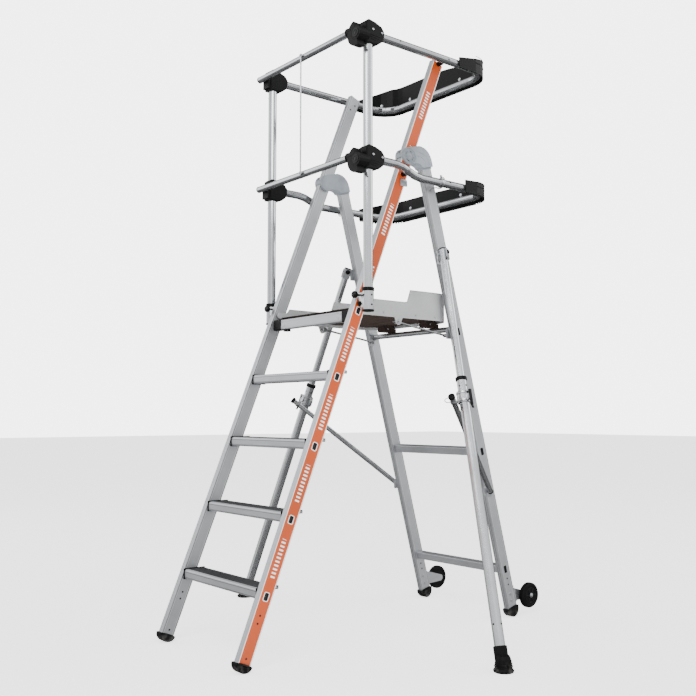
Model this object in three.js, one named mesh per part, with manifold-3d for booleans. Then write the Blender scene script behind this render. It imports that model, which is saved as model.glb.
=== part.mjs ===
// Folding rolling platform stepladder with guardrail, lift gate and two telescopic stabilisers.
// Millimetres, +Z up, +X to the climber's right, +Y from the steps to the wheels.
// The ground is z = 0, and the origin is under the middle of the whole object.
import * as THREE from 'three';
import { mergeVertices } from 'three/addons/utils/BufferGeometryUtils.js';
import Module from 'manifold-3d';

// ---- driving dimensions -------------------------------------------------------------------
const GAP = 0.3;                  // clearance between touching pieces
const CENTRE_Y = 714.4;            // from the front line's foot to the middle of the object
const SIDES = [['right', 1], ['left', -1]];

const STILE = { depth: 51, width: 24, wall: 2.4, corner: 2.5 };
const FRONT = { outer: 262, lean: 22, low: 26, top: 2330 };             // lengths along the stile
const REAR = { outer: 259, lean: 15.2, footY: 1274.7, low: 24, top: 1784 };
const WINDOW = { width: 17, height: 25, alongBelowTread: 14.5 };

const TREAD = { first: 247, pitch: 234, count: 4, depth: 80, body: 54, lip: 7, height: 33, wall: 2.2, ribs: 9 };
const BEAM = { y: 480, depth: 28, bottom: 1127, height: 37, half: 190 };
const DECK = { pivotY: 505, pivotZ: 1186, front: 512, rear: 996, top: 1178, thick: 12, half: 228 };
const TOE = { half: 232, sheet: 2.5, bottom: 1154, low: 1213, high: 1260, rear: 1000, corner: 88 };
const EAR = { y: 713, z: 1141, radius: 14 };
const PAD = { x: 125, half: 22, front: 938, rear: 1002, bottom: 1139.2 };

const POST = { x: 300, y: 509, radius: 17, bore: 15, low: 1165 };
const SLEEVE = { outer: 20, low: 1161, top: 1226, plateFrom: 1170, plateTo: 1222, plateHalf: 15 };
const KNOB = { x: 272, y: 463, z: 1214, radius: 12, length: 16, stemRadius: 4, stemEnd: 493.7 };
const RAIL = { radius: 15, bore: 12.6, start: 536, back: 1130, bend: 85 };
const UPPER_RAIL_Z = 2152;
const LOWER_RAIL = { z: 1700, dipZ: 1668, dipFrom: 640, dipTo: 765 };
const JOINT = { half: 22, bevel: 4, rest: -34 };
const BOSS = { radius: 24, front: 446, x: 8, down: 18 };              // beside and below its rail
const GATE = { y: 462, radius: 12.5, bore: 10.7, freeEnd: -322, socketEnd: 276, collar: 17, ringOuter: 46, ringHalf: 16 };
const LINK = { x: -15, y: 444, radius: 3, eye: 8, eyeThick: 5 };

const TRAY = { inner: 16.5, thick: 4.5, below: 20 };
const UPPER_TRAY = { start: 955, side: 18, corner: 50, crown: 100 };
const LOWER_TRAY = { start: 982, side: 26, corner: 33, crown: 68 };

const PIVOT = { y: 736, z: 1754 };                                      // elbow hinge, front to rear frame
const ELBOW = { outerX: 270, innerX: 227, head: 33, bottomZ: 1722 };
const RUNG = { height: 30, depth: 26, wall: 2, along: [190, 672] };
const CROSS = { y: 990, z: 1127, radius: 11, bore: 9 };
const ROD = { x: 212, radius: 4, rearY: 972, rearZ: 1103, eye: 9 };
const WHEEL = { x: 262.5, y: 1384, z: 75, radius: 49, half: 12.5, bore: 6.4 };
const BRACKET = { inner: 240, outer: 245, low: 57, top: 112 };

const LEG = {
  top: [288, 888, 1405], foot: [747, 680, 0],
  upperRadius: 14, upperBore: 12, lowerRadius: 17.5, lowerBore: 14.4,
  lowerFrom: 512, upperTo: 1000, footFrom: 1442, clampFrom: 560, clampLength: 42,
  folded: [0.03, 0.36, -0.94],       // the way the leg points when it is swung in
};
const CLEVIS = { ear: 3.5, pin: 5 };
const FOOT_PAD = { radius: 31, neck: 22, height: 50 };
const STRUT = { low: [272, 1154, 500], high: [473, 739, 861], radius: 10, bore: 8 };

const CIRCLE = 16;                 // facets of a round tube
const BEND_BORE = 8;               // facets of a bent tube's bore

// ---- materials ------------------------------------------------------------------------------
const surface = (color, roughness, metalness) => new THREE.MeshStandardMaterial({ color, roughness, metalness });
const SATIN_ALUMINIUM = surface(0xb9bcbd, 0.42, 0.9);
const BRIGHT_ALUMINIUM = surface(0xd0d2d3, 0.25, 0.95);
const SHEET_ALUMINIUM = surface(0xc3c5c6, 0.5, 0.8);
const ORANGE_PAINT = surface(0xcd5c26, 0.45, 0.1);
const BLACK_PLASTIC = surface(0x17181a, 0.5, 0);
const GREY_PLASTIC = surface(0x8f959b, 0.5, 0);
const BLACK_RUBBER = surface(0x101112, 0.75, 0);
const DARK_PLY = surface(0x2e2724, 0.7, 0);

// ---- geometry helpers -----------------------------------------------------------------------
const wasm = await Module();
wasm.setup();
const rad = THREE.MathUtils.degToRad;
const vec = (p) => new THREE.Vector3(...p);

function toSolid(geometry) {
  const bare = geometry.clone();
  bare.deleteAttribute('normal');
  bare.deleteAttribute('uv');
  const merged = mergeVertices(bare, 1e-4);
  const { array } = merged.attributes.position;
  const mesh = new wasm.Mesh({ numProp: 3, vertProperties: array, triVerts: Uint32Array.from(merged.index.array) });
  return new wasm.Manifold(mesh);
}

function toGeometry(solid) {
  const mesh = solid.getMesh();
  const geometry = new THREE.BufferGeometry();
  geometry.setAttribute('position', new THREE.BufferAttribute(new Float32Array(mesh.vertProperties), 3));
  geometry.setIndex(new THREE.BufferAttribute(new Uint32Array(mesh.triVerts), 1));
  return geometry;
}

function cut(geometry, ...tools) {
  return toGeometry(tools.reduce((solid, tool) => solid.subtract(toSolid(tool)), toSolid(geometry)));
}

function join(geometry, ...others) {
  return toGeometry(others.reduce((solid, other) => solid.add(toSolid(other)), toSolid(geometry)));
}

function overlap(geometry, other) {
  return toGeometry(toSolid(geometry).intersect(toSolid(other)));
}

// The same piece for the other side of the object, with its faces still pointing out.
function mirrored(geometry) {
  const flipped = geometry.clone().scale(-1, 1, 1);
  const { array } = flipped.index;
  for (let i = 0; i < array.length; i += 3) [array[i], array[i + 1]] = [array[i + 1], array[i]];
  return flipped;
}

const moved = (geometry, x, y, z) => geometry.translate(x, y, z);

function box(x0, x1, y0, y1, z0, z1) {
  return moved(new THREE.BoxGeometry(x1 - x0, y1 - y0, z1 - z0), (x0 + x1) / 2, (y0 + y1) / 2, (z0 + z1) / 2);
}

function extrude(shape, length, curveSegments = 2) {
  return new THREE.ExtrudeGeometry(shape, { depth: length, bevelEnabled: false, curveSegments });
}

// Turns an extrusion drawn in (y, z) so that its length runs along +X.
const alongX = (geometry) => geometry.applyMatrix4(new THREE.Matrix4().set(
  0, 0, 1, 0,
  1, 0, 0, 0,
  0, 1, 0, 0,
  0, 0, 0, 1,
));

function roundedRectangle(width, height, radius, Kind = THREE.Shape) {
  const [w, h] = [width / 2, height / 2];
  const path = new Kind();
  path.moveTo(-w + radius, -h).lineTo(w - radius, -h);
  path.absarc(w - radius, -h + radius, radius, -Math.PI / 2, 0);
  path.lineTo(w, h - radius).absarc(w - radius, h - radius, radius, 0, Math.PI / 2);
  path.lineTo(-w + radius, h).absarc(-w + radius, h - radius, radius, Math.PI / 2, Math.PI);
  path.lineTo(-w, -h + radius).absarc(-w + radius, -h + radius, radius, Math.PI, 1.5 * Math.PI);
  return path;
}

function boxSection(width, depth, wall, corner) {
  const shape = roundedRectangle(width, depth, corner);
  shape.holes.push(roundedRectangle(width - 2 * wall, depth - 2 * wall, 0.8, THREE.Path));
  return shape;
}

function circle(radius, Kind = THREE.Shape, sides = CIRCLE) {
  return new Kind(Array.from({ length: sides }, (_, i) => {
    const angle = (2 * Math.PI * i) / sides;
    return new THREE.Vector2(radius * Math.cos(angle), radius * Math.sin(angle));
  }));
}

function tubeSection(outer, inner, boreSides = CIRCLE) {
  const shape = circle(outer);
  if (inner) shape.holes.push(circle(inner, THREE.Path, boreSides));
  return shape;
}

function turnTo(geometry, from, to) {
  const direction = vec(to).sub(vec(from)).normalize();
  geometry.applyQuaternion(new THREE.Quaternion().setFromUnitVectors(new THREE.Vector3(0, 0, 1), direction));
  return geometry.translate(...from);
}

// A straight round tube or rod from one point to another.
function rodBetween(from, to, outer, inner = 0) {
  return turnTo(extrude(tubeSection(outer, inner), vec(to).distanceTo(vec(from))), from, to);
}

// A path whose steps fall exactly on the listed points, for tubes with tight bends.
class BentPath extends THREE.Curve {
  constructor(points) {
    super();
    this.points = points;
  }

  getPointAt(u) {
    return this.points[Math.round(u * (this.points.length - 1))].clone();
  }

  getTangentAt(u) {
    const last = this.points.length - 1;
    const i = Math.round(u * last);
    return this.points[Math.min(i + 1, last)].clone().sub(this.points[Math.max(i - 1, 0)]).normalize();
  }
}

function bentTube(points, outer, inner) {
  const extrudePath = new BentPath(points);
  return new THREE.ExtrudeGeometry(tubeSection(outer, inner, BEND_BORE), { steps: points.length - 1, extrudePath });
}

// Points of a U seen from above: down the right side, round the back and up the left side.
// height(y) gives the level of a side rail, offset moves the line outwards.
function uPoints(start, height, offset = 0, extraStops = []) {
  const half = POST.x + offset;
  const radius = RAIL.bend + offset;
  const straightEnd = RAIL.back - RAIL.bend;
  const backZ = height(RAIL.back);
  const side = [start, ...extraStops].map((y) => new THREE.Vector3(half, y, height(y)));
  const corner = [];
  const steps = 6;
  for (let i = 0; i <= steps; i++) {
    const angle = (Math.PI / 2) * (i / steps);
    const x = half - radius + radius * Math.cos(angle);
    corner.push(new THREE.Vector3(x, straightEnd + radius * Math.sin(angle), backZ));
  }
  const right = [...side, ...corner];
  return [...right, ...right.map((p) => new THREE.Vector3(-p.x, p.y, p.z)).reverse()];
}

// A closed body through rings of points, each ring the same length, with its two ends capped.
function loft(rings) {
  const n = rings[0].length;
  const positions = rings.flat().flatMap((p) => [p.x, p.y, p.z]);
  const faces = [];
  for (let r = 0; r < rings.length - 1; r++) {
    for (let i = 0; i < n; i++) {
      const a = r * n + i;
      const b = r * n + ((i + 1) % n);
      faces.push(a, a + n, b, b, a + n, b + n);
    }
  }
  const end = (rings.length - 1) * n;
  for (let i = 1; i < n - 1; i++) {
    faces.push(0, i, i + 1);
    faces.push(end, end + i + 1, end + i);
  }
  const geometry = new THREE.BufferGeometry();
  geometry.setAttribute('position', new THREE.Float32BufferAttribute(positions, 3));
  geometry.setIndex(faces);
  return geometry;
}

function add(parent, name, geometry, material, position = [0, 0, 0]) {
  const mesh = new THREE.Mesh(geometry, material.clone());
  mesh.name = name;
  mesh.position.set(...position);
  parent.add(mesh);
}

// ---- frames ---------------------------------------------------------------------------------
const group = new THREE.Group();
group.position.y = -CENTRE_Y;
const frontFrame = new THREE.Group();       // local z runs up the front stiles
frontFrame.rotation.x = -rad(FRONT.lean);
const rearFrame = new THREE.Group();        // local z runs up the rear stiles
rearFrame.position.y = REAR.footY;
rearFrame.rotation.x = rad(REAR.lean);
group.add(frontFrame, rearFrame);

const treadTop = (i) => TREAD.first + i * TREAD.pitch;
const frontLineY = (z) => z * Math.tan(rad(FRONT.lean));
const alongFront = (z) => z / Math.cos(rad(FRONT.lean));

// ---- front frame ----------------------------------------------------------------------------
function frontStile(side) {
  const tube = extrude(boxSection(STILE.width, STILE.depth, STILE.wall, STILE.corner), FRONT.top - FRONT.low);
  const windows = [0, 1, 2, 3, 4].map((i) => {
    const along = alongFront(treadTop(i)) - WINDOW.alongBelowTread - FRONT.low;
    const opening = alongX(extrude(roundedRectangle(WINDOW.width, WINDOW.height, 4), 8));
    return moved(opening, side > 0 ? STILE.width / 2 - 5 : -STILE.width / 2 - 3, 0, along);
  });
  return cut(tube, ...windows);
}

function boot(low, lean, footY) {
  // A rubber boot over the end of a leaning stile, cut level with the ground.
  const width = STILE.width + 7;
  const depth = STILE.depth + 8;
  const block = extrude(roundedRectangle(width, depth, 6), low + 14 + 50, 3);
  const pocket = extrude(roundedRectangle(STILE.width + 2 * GAP, STILE.depth + 2 * GAP, STILE.corner), 100);
  const matrix = new THREE.Matrix4().makeRotationX(-rad(lean)).setPosition(0, footY, 0);
  const onStile = (geometry, z) => geometry.translate(0, STILE.depth / 2, z).applyMatrix4(matrix);
  const ground = box(-60, 60, footY - 200, footY + 200, -120, 0);
  return cut(onStile(block, -50), onStile(pocket, low - GAP), ground);
}

function tread() {
  // Section drawn in (y, z): rounded nose, ribbed top with a thin rear lip, and two hollow cells.
  const outline = new THREE.Shape();
  const { depth, body, lip, height, ribs, wall } = TREAD;
  const nose = 7;
  outline.moveTo(nose, -height).lineTo(body - 4, -height).lineTo(body, -height + 4).lineTo(body, -lip - 2);
  outline.lineTo(depth - 2, -lip).lineTo(depth, -lip + 2).lineTo(depth, -3).lineTo(depth - 3, 0);
  const pitch = (depth - 3 - nose) / ribs;
  for (let i = 0; i < ribs; i++) {
    const y = depth - 3 - i * pitch;
    outline.lineTo(y - pitch * 0.55, 0).lineTo(y - pitch * 0.65, -1.4).lineTo(y - pitch * 0.9, -1.4);
    outline.lineTo(y - pitch, 0);
  }
  outline.absarc(nose, -nose, nose, Math.PI / 2, Math.PI);
  outline.lineTo(0, -height + 5).absarc(5, -height + 5, 5, Math.PI, 1.5 * Math.PI);
  for (const [from, to] of [[wall, body / 2 - 1], [body / 2 + 1, body - wall]]) {
    const cell = roundedRectangle(to - from, height - 2 * wall - 3, 2.5, THREE.Path);
    const points = cell.getPoints(2).map((p) => p.add(new THREE.Vector2((from + to) / 2, -height / 2 - 0.5)));
    outline.holes.push(new THREE.Path(points));
  }
  const length = 2 * (FRONT.outer - STILE.width - 0.4);
  return moved(alongX(extrude(outline, length)), -length / 2, 0, 0);
}

for (const [hand, side] of SIDES) {
  const x = side * (FRONT.outer - STILE.width / 2);
  const paint = side > 0 ? ORANGE_PAINT : SATIN_ALUMINIUM;
  add(frontFrame, `front_stile_${hand}`, frontStile(side), paint, [x, STILE.depth / 2, FRONT.low]);
  add(group, `front_foot_${hand}`, boot(FRONT.low, FRONT.lean, 0), BLACK_RUBBER, [x, 0, 0]);
}

for (let i = 0; i < TREAD.count; i++) {
  const z = treadTop(i);
  add(group, `step_${i + 1}`, tread(), SATIN_ALUMINIUM, [0, frontLineY(z), z]);
}

const beamMiddle = [BEAM.y + BEAM.depth / 2, BEAM.bottom + BEAM.height / 2];
const beamTube = alongX(extrude(boxSection(BEAM.depth, BEAM.height, 2.2, 3), 2 * BEAM.half));
add(group, 'platform_front_beam', beamTube, SATIN_ALUMINIUM, [-BEAM.half, ...beamMiddle]);
for (const [hand, side] of SIDES) {
  const length = FRONT.outer - STILE.width - BEAM.half - 3 * GAP;
  const block = alongX(extrude(roundedRectangle(BEAM.depth + 4, BEAM.height + 4, 5), length));
  const start = side > 0 ? BEAM.half + GAP : -BEAM.half - GAP - length;
  add(group, `beam_end_block_${hand}`, block, BLACK_PLASTIC, [start, ...beamMiddle]);
}

// ---- platform deck and toe board -------------------------------------------------------------
// A plan outline with square front corners and rounded rear ones.
function uPlan(half, rear, corner, front) {
  const path = new THREE.Shape();
  path.moveTo(half, front).lineTo(half, rear - corner).absarc(half - corner, rear - corner, corner, 0, Math.PI / 2);
  path.lineTo(-half + corner, rear).absarc(-half + corner, rear - corner, corner, Math.PI / 2, Math.PI);
  return path.lineTo(-half, front);
}

function deckPanel() {
  const plan = uPlan(DECK.half, DECK.rear, TOE.corner - TOE.sheet - 1, DECK.front);
  const panel = moved(extrude(plan, DECK.thick, 5), 0, 0, DECK.top - DECK.thick);
  const pads = [-PAD.x, PAD.x].map((x) => (
    box(x - PAD.half, x + PAD.half, PAD.front, DECK.rear - 6, PAD.bottom, DECK.top - DECK.thick + 1)
  ));
  const noses = [-PAD.x, PAD.x].map((x) => (
    box(x - PAD.half, x + PAD.half, DECK.rear - 20, PAD.rear, PAD.bottom, TOE.bottom - 1)
  ));
  return join(panel, ...pads, ...noses);
}

function toeBoard() {
  // A bent sheet: a U seen from above, trimmed to its stepped side outline.
  const outer = extrude(uPlan(TOE.half, TOE.rear, TOE.corner, 480), 200, 5);
  const { sheet } = TOE;
  const inner = extrude(uPlan(TOE.half - sheet, TOE.rear - sheet, TOE.corner - sheet, 470), 220, 5);
  const wall = cut(moved(outer, 0, 0, 1100), moved(inner, 0, 0, 1090));
  const side = new THREE.Shape();
  side.moveTo(524, TOE.bottom).lineTo(EAR.y - EAR.radius - 6, TOE.bottom);
  side.lineTo(EAR.y - EAR.radius, EAR.z).absarc(EAR.y, EAR.z, EAR.radius, Math.PI, 2 * Math.PI);
  side.lineTo(EAR.y + EAR.radius + 6, TOE.bottom).lineTo(TOE.rear + 10, TOE.bottom);
  side.lineTo(TOE.rear + 10, TOE.high).lineTo(773, TOE.high).lineTo(757, TOE.low).lineTo(548, TOE.low);
  side.lineTo(537, DECK.pivotZ + 12).lineTo(DECK.pivotY, DECK.pivotZ + 12);
  side.absarc(DECK.pivotY, DECK.pivotZ, 12, Math.PI / 2, 1.5 * Math.PI);
  side.lineTo(524, DECK.pivotZ - 12).lineTo(524, TOE.bottom);
  const trim = moved(alongX(extrude(side, 2 * TOE.half + 20, 5)), -TOE.half - 10, 0, 0);
  return overlap(wall, trim);
}

add(group, 'platform_deck', deckPanel(), DARK_PLY);
add(group, 'toe_board', toeBoard(), SHEET_ALUMINIUM);

// ---- guardrail: posts, sleeves, knobs, joints, rails and trays -------------------------------
function sleeve(side) {
  const tube = extrude(tubeSection(SLEEVE.outer, 0), SLEEVE.top - SLEEVE.low);
  moved(tube, 0, 0, SLEEVE.low);
  const toStile = POST.x - FRONT.outer - GAP;
  const [x0, x1] = side > 0 ? [-toStile, 0] : [0, toStile];
  const plate = box(x0, x1, -SLEEVE.plateHalf, SLEEVE.plateHalf, SLEEVE.plateFrom, SLEEVE.plateTo);
  const bore = moved(extrude(circle(POST.radius + GAP), 200), 0, 0, SLEEVE.low - 50);
  return cut(join(tube, plate), bore);
}

// Its axis is +Y, from the knob's face back to the sleeve plate.
function knob() {
  const { radius, length, stemRadius, stemEnd, y } = KNOB;
  const total = stemEnd - y - GAP;
  const profile = [[0, 0], [radius - 3, 0], [radius, 3], [radius, length - 3], [radius - 3, length],
    [stemRadius, length], [stemRadius, total], [0, total]];
  return new THREE.LatheGeometry(profile.map((p) => new THREE.Vector2(...p)), 12);
}

// Black clamp that holds a post, the front end of a rail and one end of a gate bar.
function guardJoint(side) {
  // Its outline in (y, z), seen from the side and drawn inside the bevel.
  const body = new THREE.Shape([
    [-20, -40], [8, -41], [34, -36], [50, -24], [57, -8], [57, 10], [46, 24], [18, 34], [-10, 38], [-20, 31],
  ].map(([y, z]) => new THREE.Vector2(y, z)));
  const block = new THREE.ExtrudeGeometry(body, {
    depth: 2 * (JOINT.half - JOINT.bevel), bevelThickness: JOINT.bevel, bevelSize: JOINT.bevel, bevelSegments: 2,
  });
  moved(alongX(block), -JOINT.half + JOINT.bevel, 0, 0);
  const postBore = moved(extrude(circle(POST.radius + GAP), 120), 0, 0, -100);
  const railBore = rodBetween([0, RAIL.start - POST.y - GAP, 0], [0, 150, 0], RAIL.radius + GAP);
  const toFront = BOSS.front - POST.y;
  if (side > 0) {
    const boss = rodBetween([BOSS.x, -15, -BOSS.down], [BOSS.x, toFront, -BOSS.down], BOSS.radius);
    return cut(join(block, boss), postBore, railBore);
  }
  const rest = box(-19, 19, JOINT.rest, -15, -38, -4);
  return cut(join(block, rest), postBore, railBore);
}

const POST_TOP = UPPER_RAIL_Z + 20 - GAP;
const RAIL_LEVELS = [['upper', UPPER_RAIL_Z], ['lower', LOWER_RAIL.z]];
for (const [hand, side] of SIDES) {
  const x = side * POST.x;
  const postTube = extrude(tubeSection(POST.radius, POST.bore), POST_TOP - POST.low);
  add(group, `guard_post_${hand}`, postTube, BRIGHT_ALUMINIUM, [x, POST.y, POST.low]);
  add(group, `post_sleeve_${hand}`, sleeve(side), BRIGHT_ALUMINIUM, [x, POST.y, 0]);
  add(group, `sleeve_knob_${hand}`, knob(), BLACK_PLASTIC, [side * KNOB.x, KNOB.y, KNOB.z]);
  for (const [level, z] of RAIL_LEVELS) {
    const clamp = guardJoint(side);
    if (level === 'upper') {
      add(group, `guard_joint_upper_${hand}`, clamp, BLACK_PLASTIC, [x, POST.y, z]);
    } else {
      const through = moved(extrude(circle(POST.radius + GAP), 200), 0, 0, -100);
      add(group, `guard_joint_lower_${hand}`, cut(clamp, through), BLACK_PLASTIC, [x, POST.y, z]);
    }
  }
}

const upperLevel = () => UPPER_RAIL_Z;
function lowerLevel(y) {
  const t = THREE.MathUtils.clamp((y - LOWER_RAIL.dipFrom) / (LOWER_RAIL.dipTo - LOWER_RAIL.dipFrom), 0, 1);
  return THREE.MathUtils.lerp(LOWER_RAIL.z, LOWER_RAIL.dipZ, t * t * (3 - 2 * t));
}
const dipStops = [0, 0.25, 0.5, 0.75, 1].map((t) => LOWER_RAIL.dipFrom + t * (LOWER_RAIL.dipTo - LOWER_RAIL.dipFrom));
const upperLine = uPoints(RAIL.start, upperLevel);
const lowerLine = uPoints(RAIL.start, lowerLevel, 0, dipStops);
add(group, 'guard_rail_upper', bentTube(upperLine, RAIL.radius, RAIL.bore), BRIGHT_ALUMINIUM);
add(group, 'guard_rail_lower', bentTube(lowerLine, RAIL.radius, RAIL.bore), BRIGHT_ALUMINIUM);

// A curved wall round the outside of a rail's back, high from its middle to its left corner.
function railTray(shape, level) {
  const inside = uPoints(shape.start, () => level, TRAY.inner);
  const outside = uPoints(shape.start, () => level, TRAY.inner + TRAY.thick);
  const halfBack = POST.x - RAIL.bend;
  const backStops = [0.75, 0.5, 0.25, 0, -0.25, -0.5, -0.75];
  const splice = (points) => {
    const middle = points.length / 2;
    const back = backStops.map((t) => new THREE.Vector3(t * halfBack, points[middle].y, level));
    return [...points.slice(0, middle), ...back, ...points.slice(middle)];
  };
  const wallTop = (p) => {
    const along = THREE.MathUtils.clamp((p.y - shape.start) / (RAIL.back - shape.start), 0, 1);
    if (p.x < 0) return THREE.MathUtils.lerp(shape.side, shape.crown, along);
    const side = THREE.MathUtils.lerp(shape.side, shape.corner, along);
    const crown = Math.max(0, 1 - Math.abs(p.x) / (POST.x - 20));
    return side + (shape.crown - shape.corner) * Math.sin((crown * Math.PI) / 2);
  };
  const outer = splice(outside);
  const rings = splice(inside).map((p, i) => {
    const q = outer[i];
    const top = level + wallTop(q);
    const bottom = level - TRAY.below;
    return [[q, bottom], [q, top], [p, top], [p, bottom]].map(([at, z]) => new THREE.Vector3(at.x, at.y, z));
  });
  return loft(rings);
}

add(group, 'rail_tray_upper', railTray(UPPER_TRAY, UPPER_RAIL_Z), BLACK_PLASTIC);
add(group, 'rail_tray_lower', railTray(LOWER_TRAY, LOWER_RAIL.dipZ), BLACK_PLASTIC);

// ---- lift gate --------------------------------------------------------------------------------
function hingeRing() {
  // A C-shaped knuckle that turns on the boss of the right joint, with a socket for the bar.
  const [from, to] = [rad(106), rad(285)];
  const shape = new THREE.Shape();
  shape.absarc(0, 0, GATE.ringOuter, from, to, false);
  shape.absarc(0, 0, BOSS.radius + GAP, to, from, true);
  const ring = extrude(shape, 2 * GATE.ringHalf, 16).rotateX(Math.PI / 2);
  moved(ring, 0, GATE.ringHalf, 0);
  const collar = rodBetween([-58, 0, BOSS.down], [-28, 0, BOSS.down], GATE.collar);
  const bar = rodBetween([-120, 0, BOSS.down], [GATE.socketEnd - POST.x - BOSS.x + GAP, 0, BOSS.down], GATE.radius + GAP);
  const boss = rodBetween([0, -GATE.ringHalf - 1, 0], [0, GATE.ringHalf + 5, 0], BOSS.radius + GAP);
  return cut(join(ring, collar), bar, boss);
}

for (const [level, z] of RAIL_LEVELS) {
  add(group, `gate_hinge_${level}`, hingeRing(), BLACK_PLASTIC, [POST.x + BOSS.x, GATE.y, z - BOSS.down]);
  const bar = rodBetween([GATE.freeEnd, 0, 0], [GATE.socketEnd, 0, 0], GATE.radius, GATE.bore);
  add(group, `gate_bar_${level}`, bar, BRIGHT_ALUMINIUM, [0, GATE.y, z]);
}

function gateLink() {
  const eye = (z) => rodBetween([0, -LINK.eyeThick / 2, z], [0, LINK.eyeThick / 2, z], LINK.eye);
  const [low, high] = [LOWER_RAIL.z, UPPER_RAIL_Z];
  return join(rodBetween([0, 0, low], [0, 0, high], LINK.radius), eye(low), eye(high));
}
add(group, 'gate_link', gateLink(), BRIGHT_ALUMINIUM, [LINK.x, LINK.y, 0]);

// ---- rear frame -------------------------------------------------------------------------------
// A point of the world in the rear frame's own axes: how far behind the front face, how far up it.
function inRear(y, z) {
  const [c, s] = [Math.cos(rad(REAR.lean)), Math.sin(rad(REAR.lean))];
  return [(y - REAR.footY) * c + z * s, -(y - REAR.footY) * s + z * c];
}

function elbow() {
  // Head round the hinge and a curved arm down to the stile, forked over the front stile.
  const [py, pz] = inRear(PIVOT.y, PIVOT.z);
  const { depth } = STILE;
  const outline = new THREE.Shape();
  const low = REAR.top;
  outline.moveTo(-1, low).lineTo(depth + 1, low).lineTo(depth + 1, low + 18);
  outline.bezierCurveTo(depth + 1, pz + 2, depth - 18, pz + 26, depth - 50, pz + 33);
  outline.lineTo(py, pz + ELBOW.head);
  outline.absarc(py, pz, ELBOW.head, Math.PI / 2, 1.61 * Math.PI);
  outline.bezierCurveTo(py + 30, pz - 24, -1, low + 14, -1, low);
  const width = ELBOW.outerX - ELBOW.innerX;
  const body = moved(alongX(extrude(outline, width, 8)), ELBOW.innerX, 0, 0);
  const stile = box(FRONT.outer - STILE.width - 1, FRONT.outer + 1, -STILE.depth / 2 - 1.5, STILE.depth / 2 + 1.5, -220, 220);
  const slots = [0, 6, 12, 18, 24, 30, FRONT.lean + REAR.lean].map((angle) => (
    stile.clone().rotateX(-rad(angle)).translate(0, py, pz)
  ));
  return cut(body, ...slots);
}

function wheelBracket(side) {
  // Plate on the inner side of the wheel, with its foot on the stile's rear face and the axle stub.
  const stileRear = (z) => REAR.footY - z * Math.tan(rad(REAR.lean)) + STILE.depth / Math.cos(rad(REAR.lean));
  const plate = new THREE.Shape();
  plate.moveTo(stileRear(BRACKET.low) + GAP, BRACKET.low).lineTo(WHEEL.y, WHEEL.z - 14);
  plate.absarc(WHEEL.y, WHEEL.z, 14, -Math.PI / 2, Math.PI / 2).lineTo(stileRear(BRACKET.top) + GAP, BRACKET.top);
  const arm = moved(alongX(extrude(plate, BRACKET.outer - BRACKET.inner, 5)), BRACKET.inner, 0, 0);
  const foot = new THREE.Shape();
  foot.moveTo(stileRear(BRACKET.low) + GAP, BRACKET.low).lineTo(stileRear(BRACKET.low) + 6, BRACKET.low);
  foot.lineTo(stileRear(BRACKET.top) + 6, BRACKET.top).lineTo(stileRear(BRACKET.top) + GAP, BRACKET.top);
  const pad = moved(alongX(extrude(foot, REAR.outer - 2 - BRACKET.inner)), BRACKET.inner, 0, 0);
  const axle = rodBetween([BRACKET.inner, WHEEL.y, WHEEL.z], [WHEEL.x + WHEEL.half + 4, WHEEL.y, WHEEL.z], 6);
  const whole = join(arm, pad, axle);
  return side > 0 ? whole : mirrored(whole);
}

function wheel() {
  const { radius, half, bore } = WHEEL;
  const profile = [[bore, -half + 2], [34, -half + 3], [36, -half], [radius - 5, -half], [radius, -half + 5],
    [radius, half - 5], [radius - 5, half], [36, half], [34, half - 3], [bore, half - 2], [bore, -half + 2]];
  return new THREE.LatheGeometry(profile.map((p) => new THREE.Vector2(...p)), 24).rotateZ(-Math.PI / 2);
}

for (const [hand, side] of SIDES) {
  const x = side * (REAR.outer - STILE.width / 2);
  const tube = extrude(boxSection(STILE.width, STILE.depth, STILE.wall, STILE.corner), REAR.top - REAR.low - GAP);
  add(rearFrame, `rear_stile_${hand}`, tube, SATIN_ALUMINIUM, [x, STILE.depth / 2, REAR.low]);
  add(rearFrame, `elbow_${hand}`, side > 0 ? elbow() : mirrored(elbow()), GREY_PLASTIC);
  add(group, `rear_foot_${hand}`, boot(REAR.low, -REAR.lean, REAR.footY), BLACK_RUBBER, [x, 0, 0]);
}

const rungHalf = REAR.outer - STILE.width - GAP;
['lower', 'upper'].forEach((level, i) => {
  const tube = alongX(extrude(boxSection(RUNG.depth, RUNG.height, RUNG.wall, 2), 2 * rungHalf));
  add(rearFrame, `rear_rung_${level}`, tube, SATIN_ALUMINIUM, [-rungHalf, STILE.depth / 2, RUNG.along[i]]);
});
const crossTube = rodBetween([-rungHalf, 0, 0], [rungHalf, 0, 0], CROSS.radius, CROSS.bore);
add(group, 'rear_cross_tube', crossTube, BRIGHT_ALUMINIUM, [0, CROSS.y, CROSS.z]);

function lockRod() {
  const eye = rodBetween([-3, EAR.y, EAR.z], [3, EAR.y, EAR.z], ROD.eye);
  const end = rodBetween([-5, ROD.rearY, ROD.rearZ], [5, ROD.rearY, ROD.rearZ], ROD.eye - 2);
  return join(rodBetween([0, EAR.y, EAR.z], [0, ROD.rearY, ROD.rearZ], ROD.radius), eye, end);
}

for (const [hand, side] of SIDES) {
  add(group, `lock_rod_${hand}`, lockRod(), BRIGHT_ALUMINIUM, [side * ROD.x, 0, 0]);
  add(group, `wheel_${hand}`, wheel(), BLACK_RUBBER, [side * WHEEL.x, WHEEL.y, WHEEL.z]);
}

// ---- stabilisers --------------------------------------------------------------------------------
const legLine = (side, distance) => {
  const top = vec(LEG.top);
  const p = top.clone().add(vec(LEG.foot).sub(top).normalize().multiplyScalar(distance));
  return [side * p.x, p.y, p.z];
};

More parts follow.
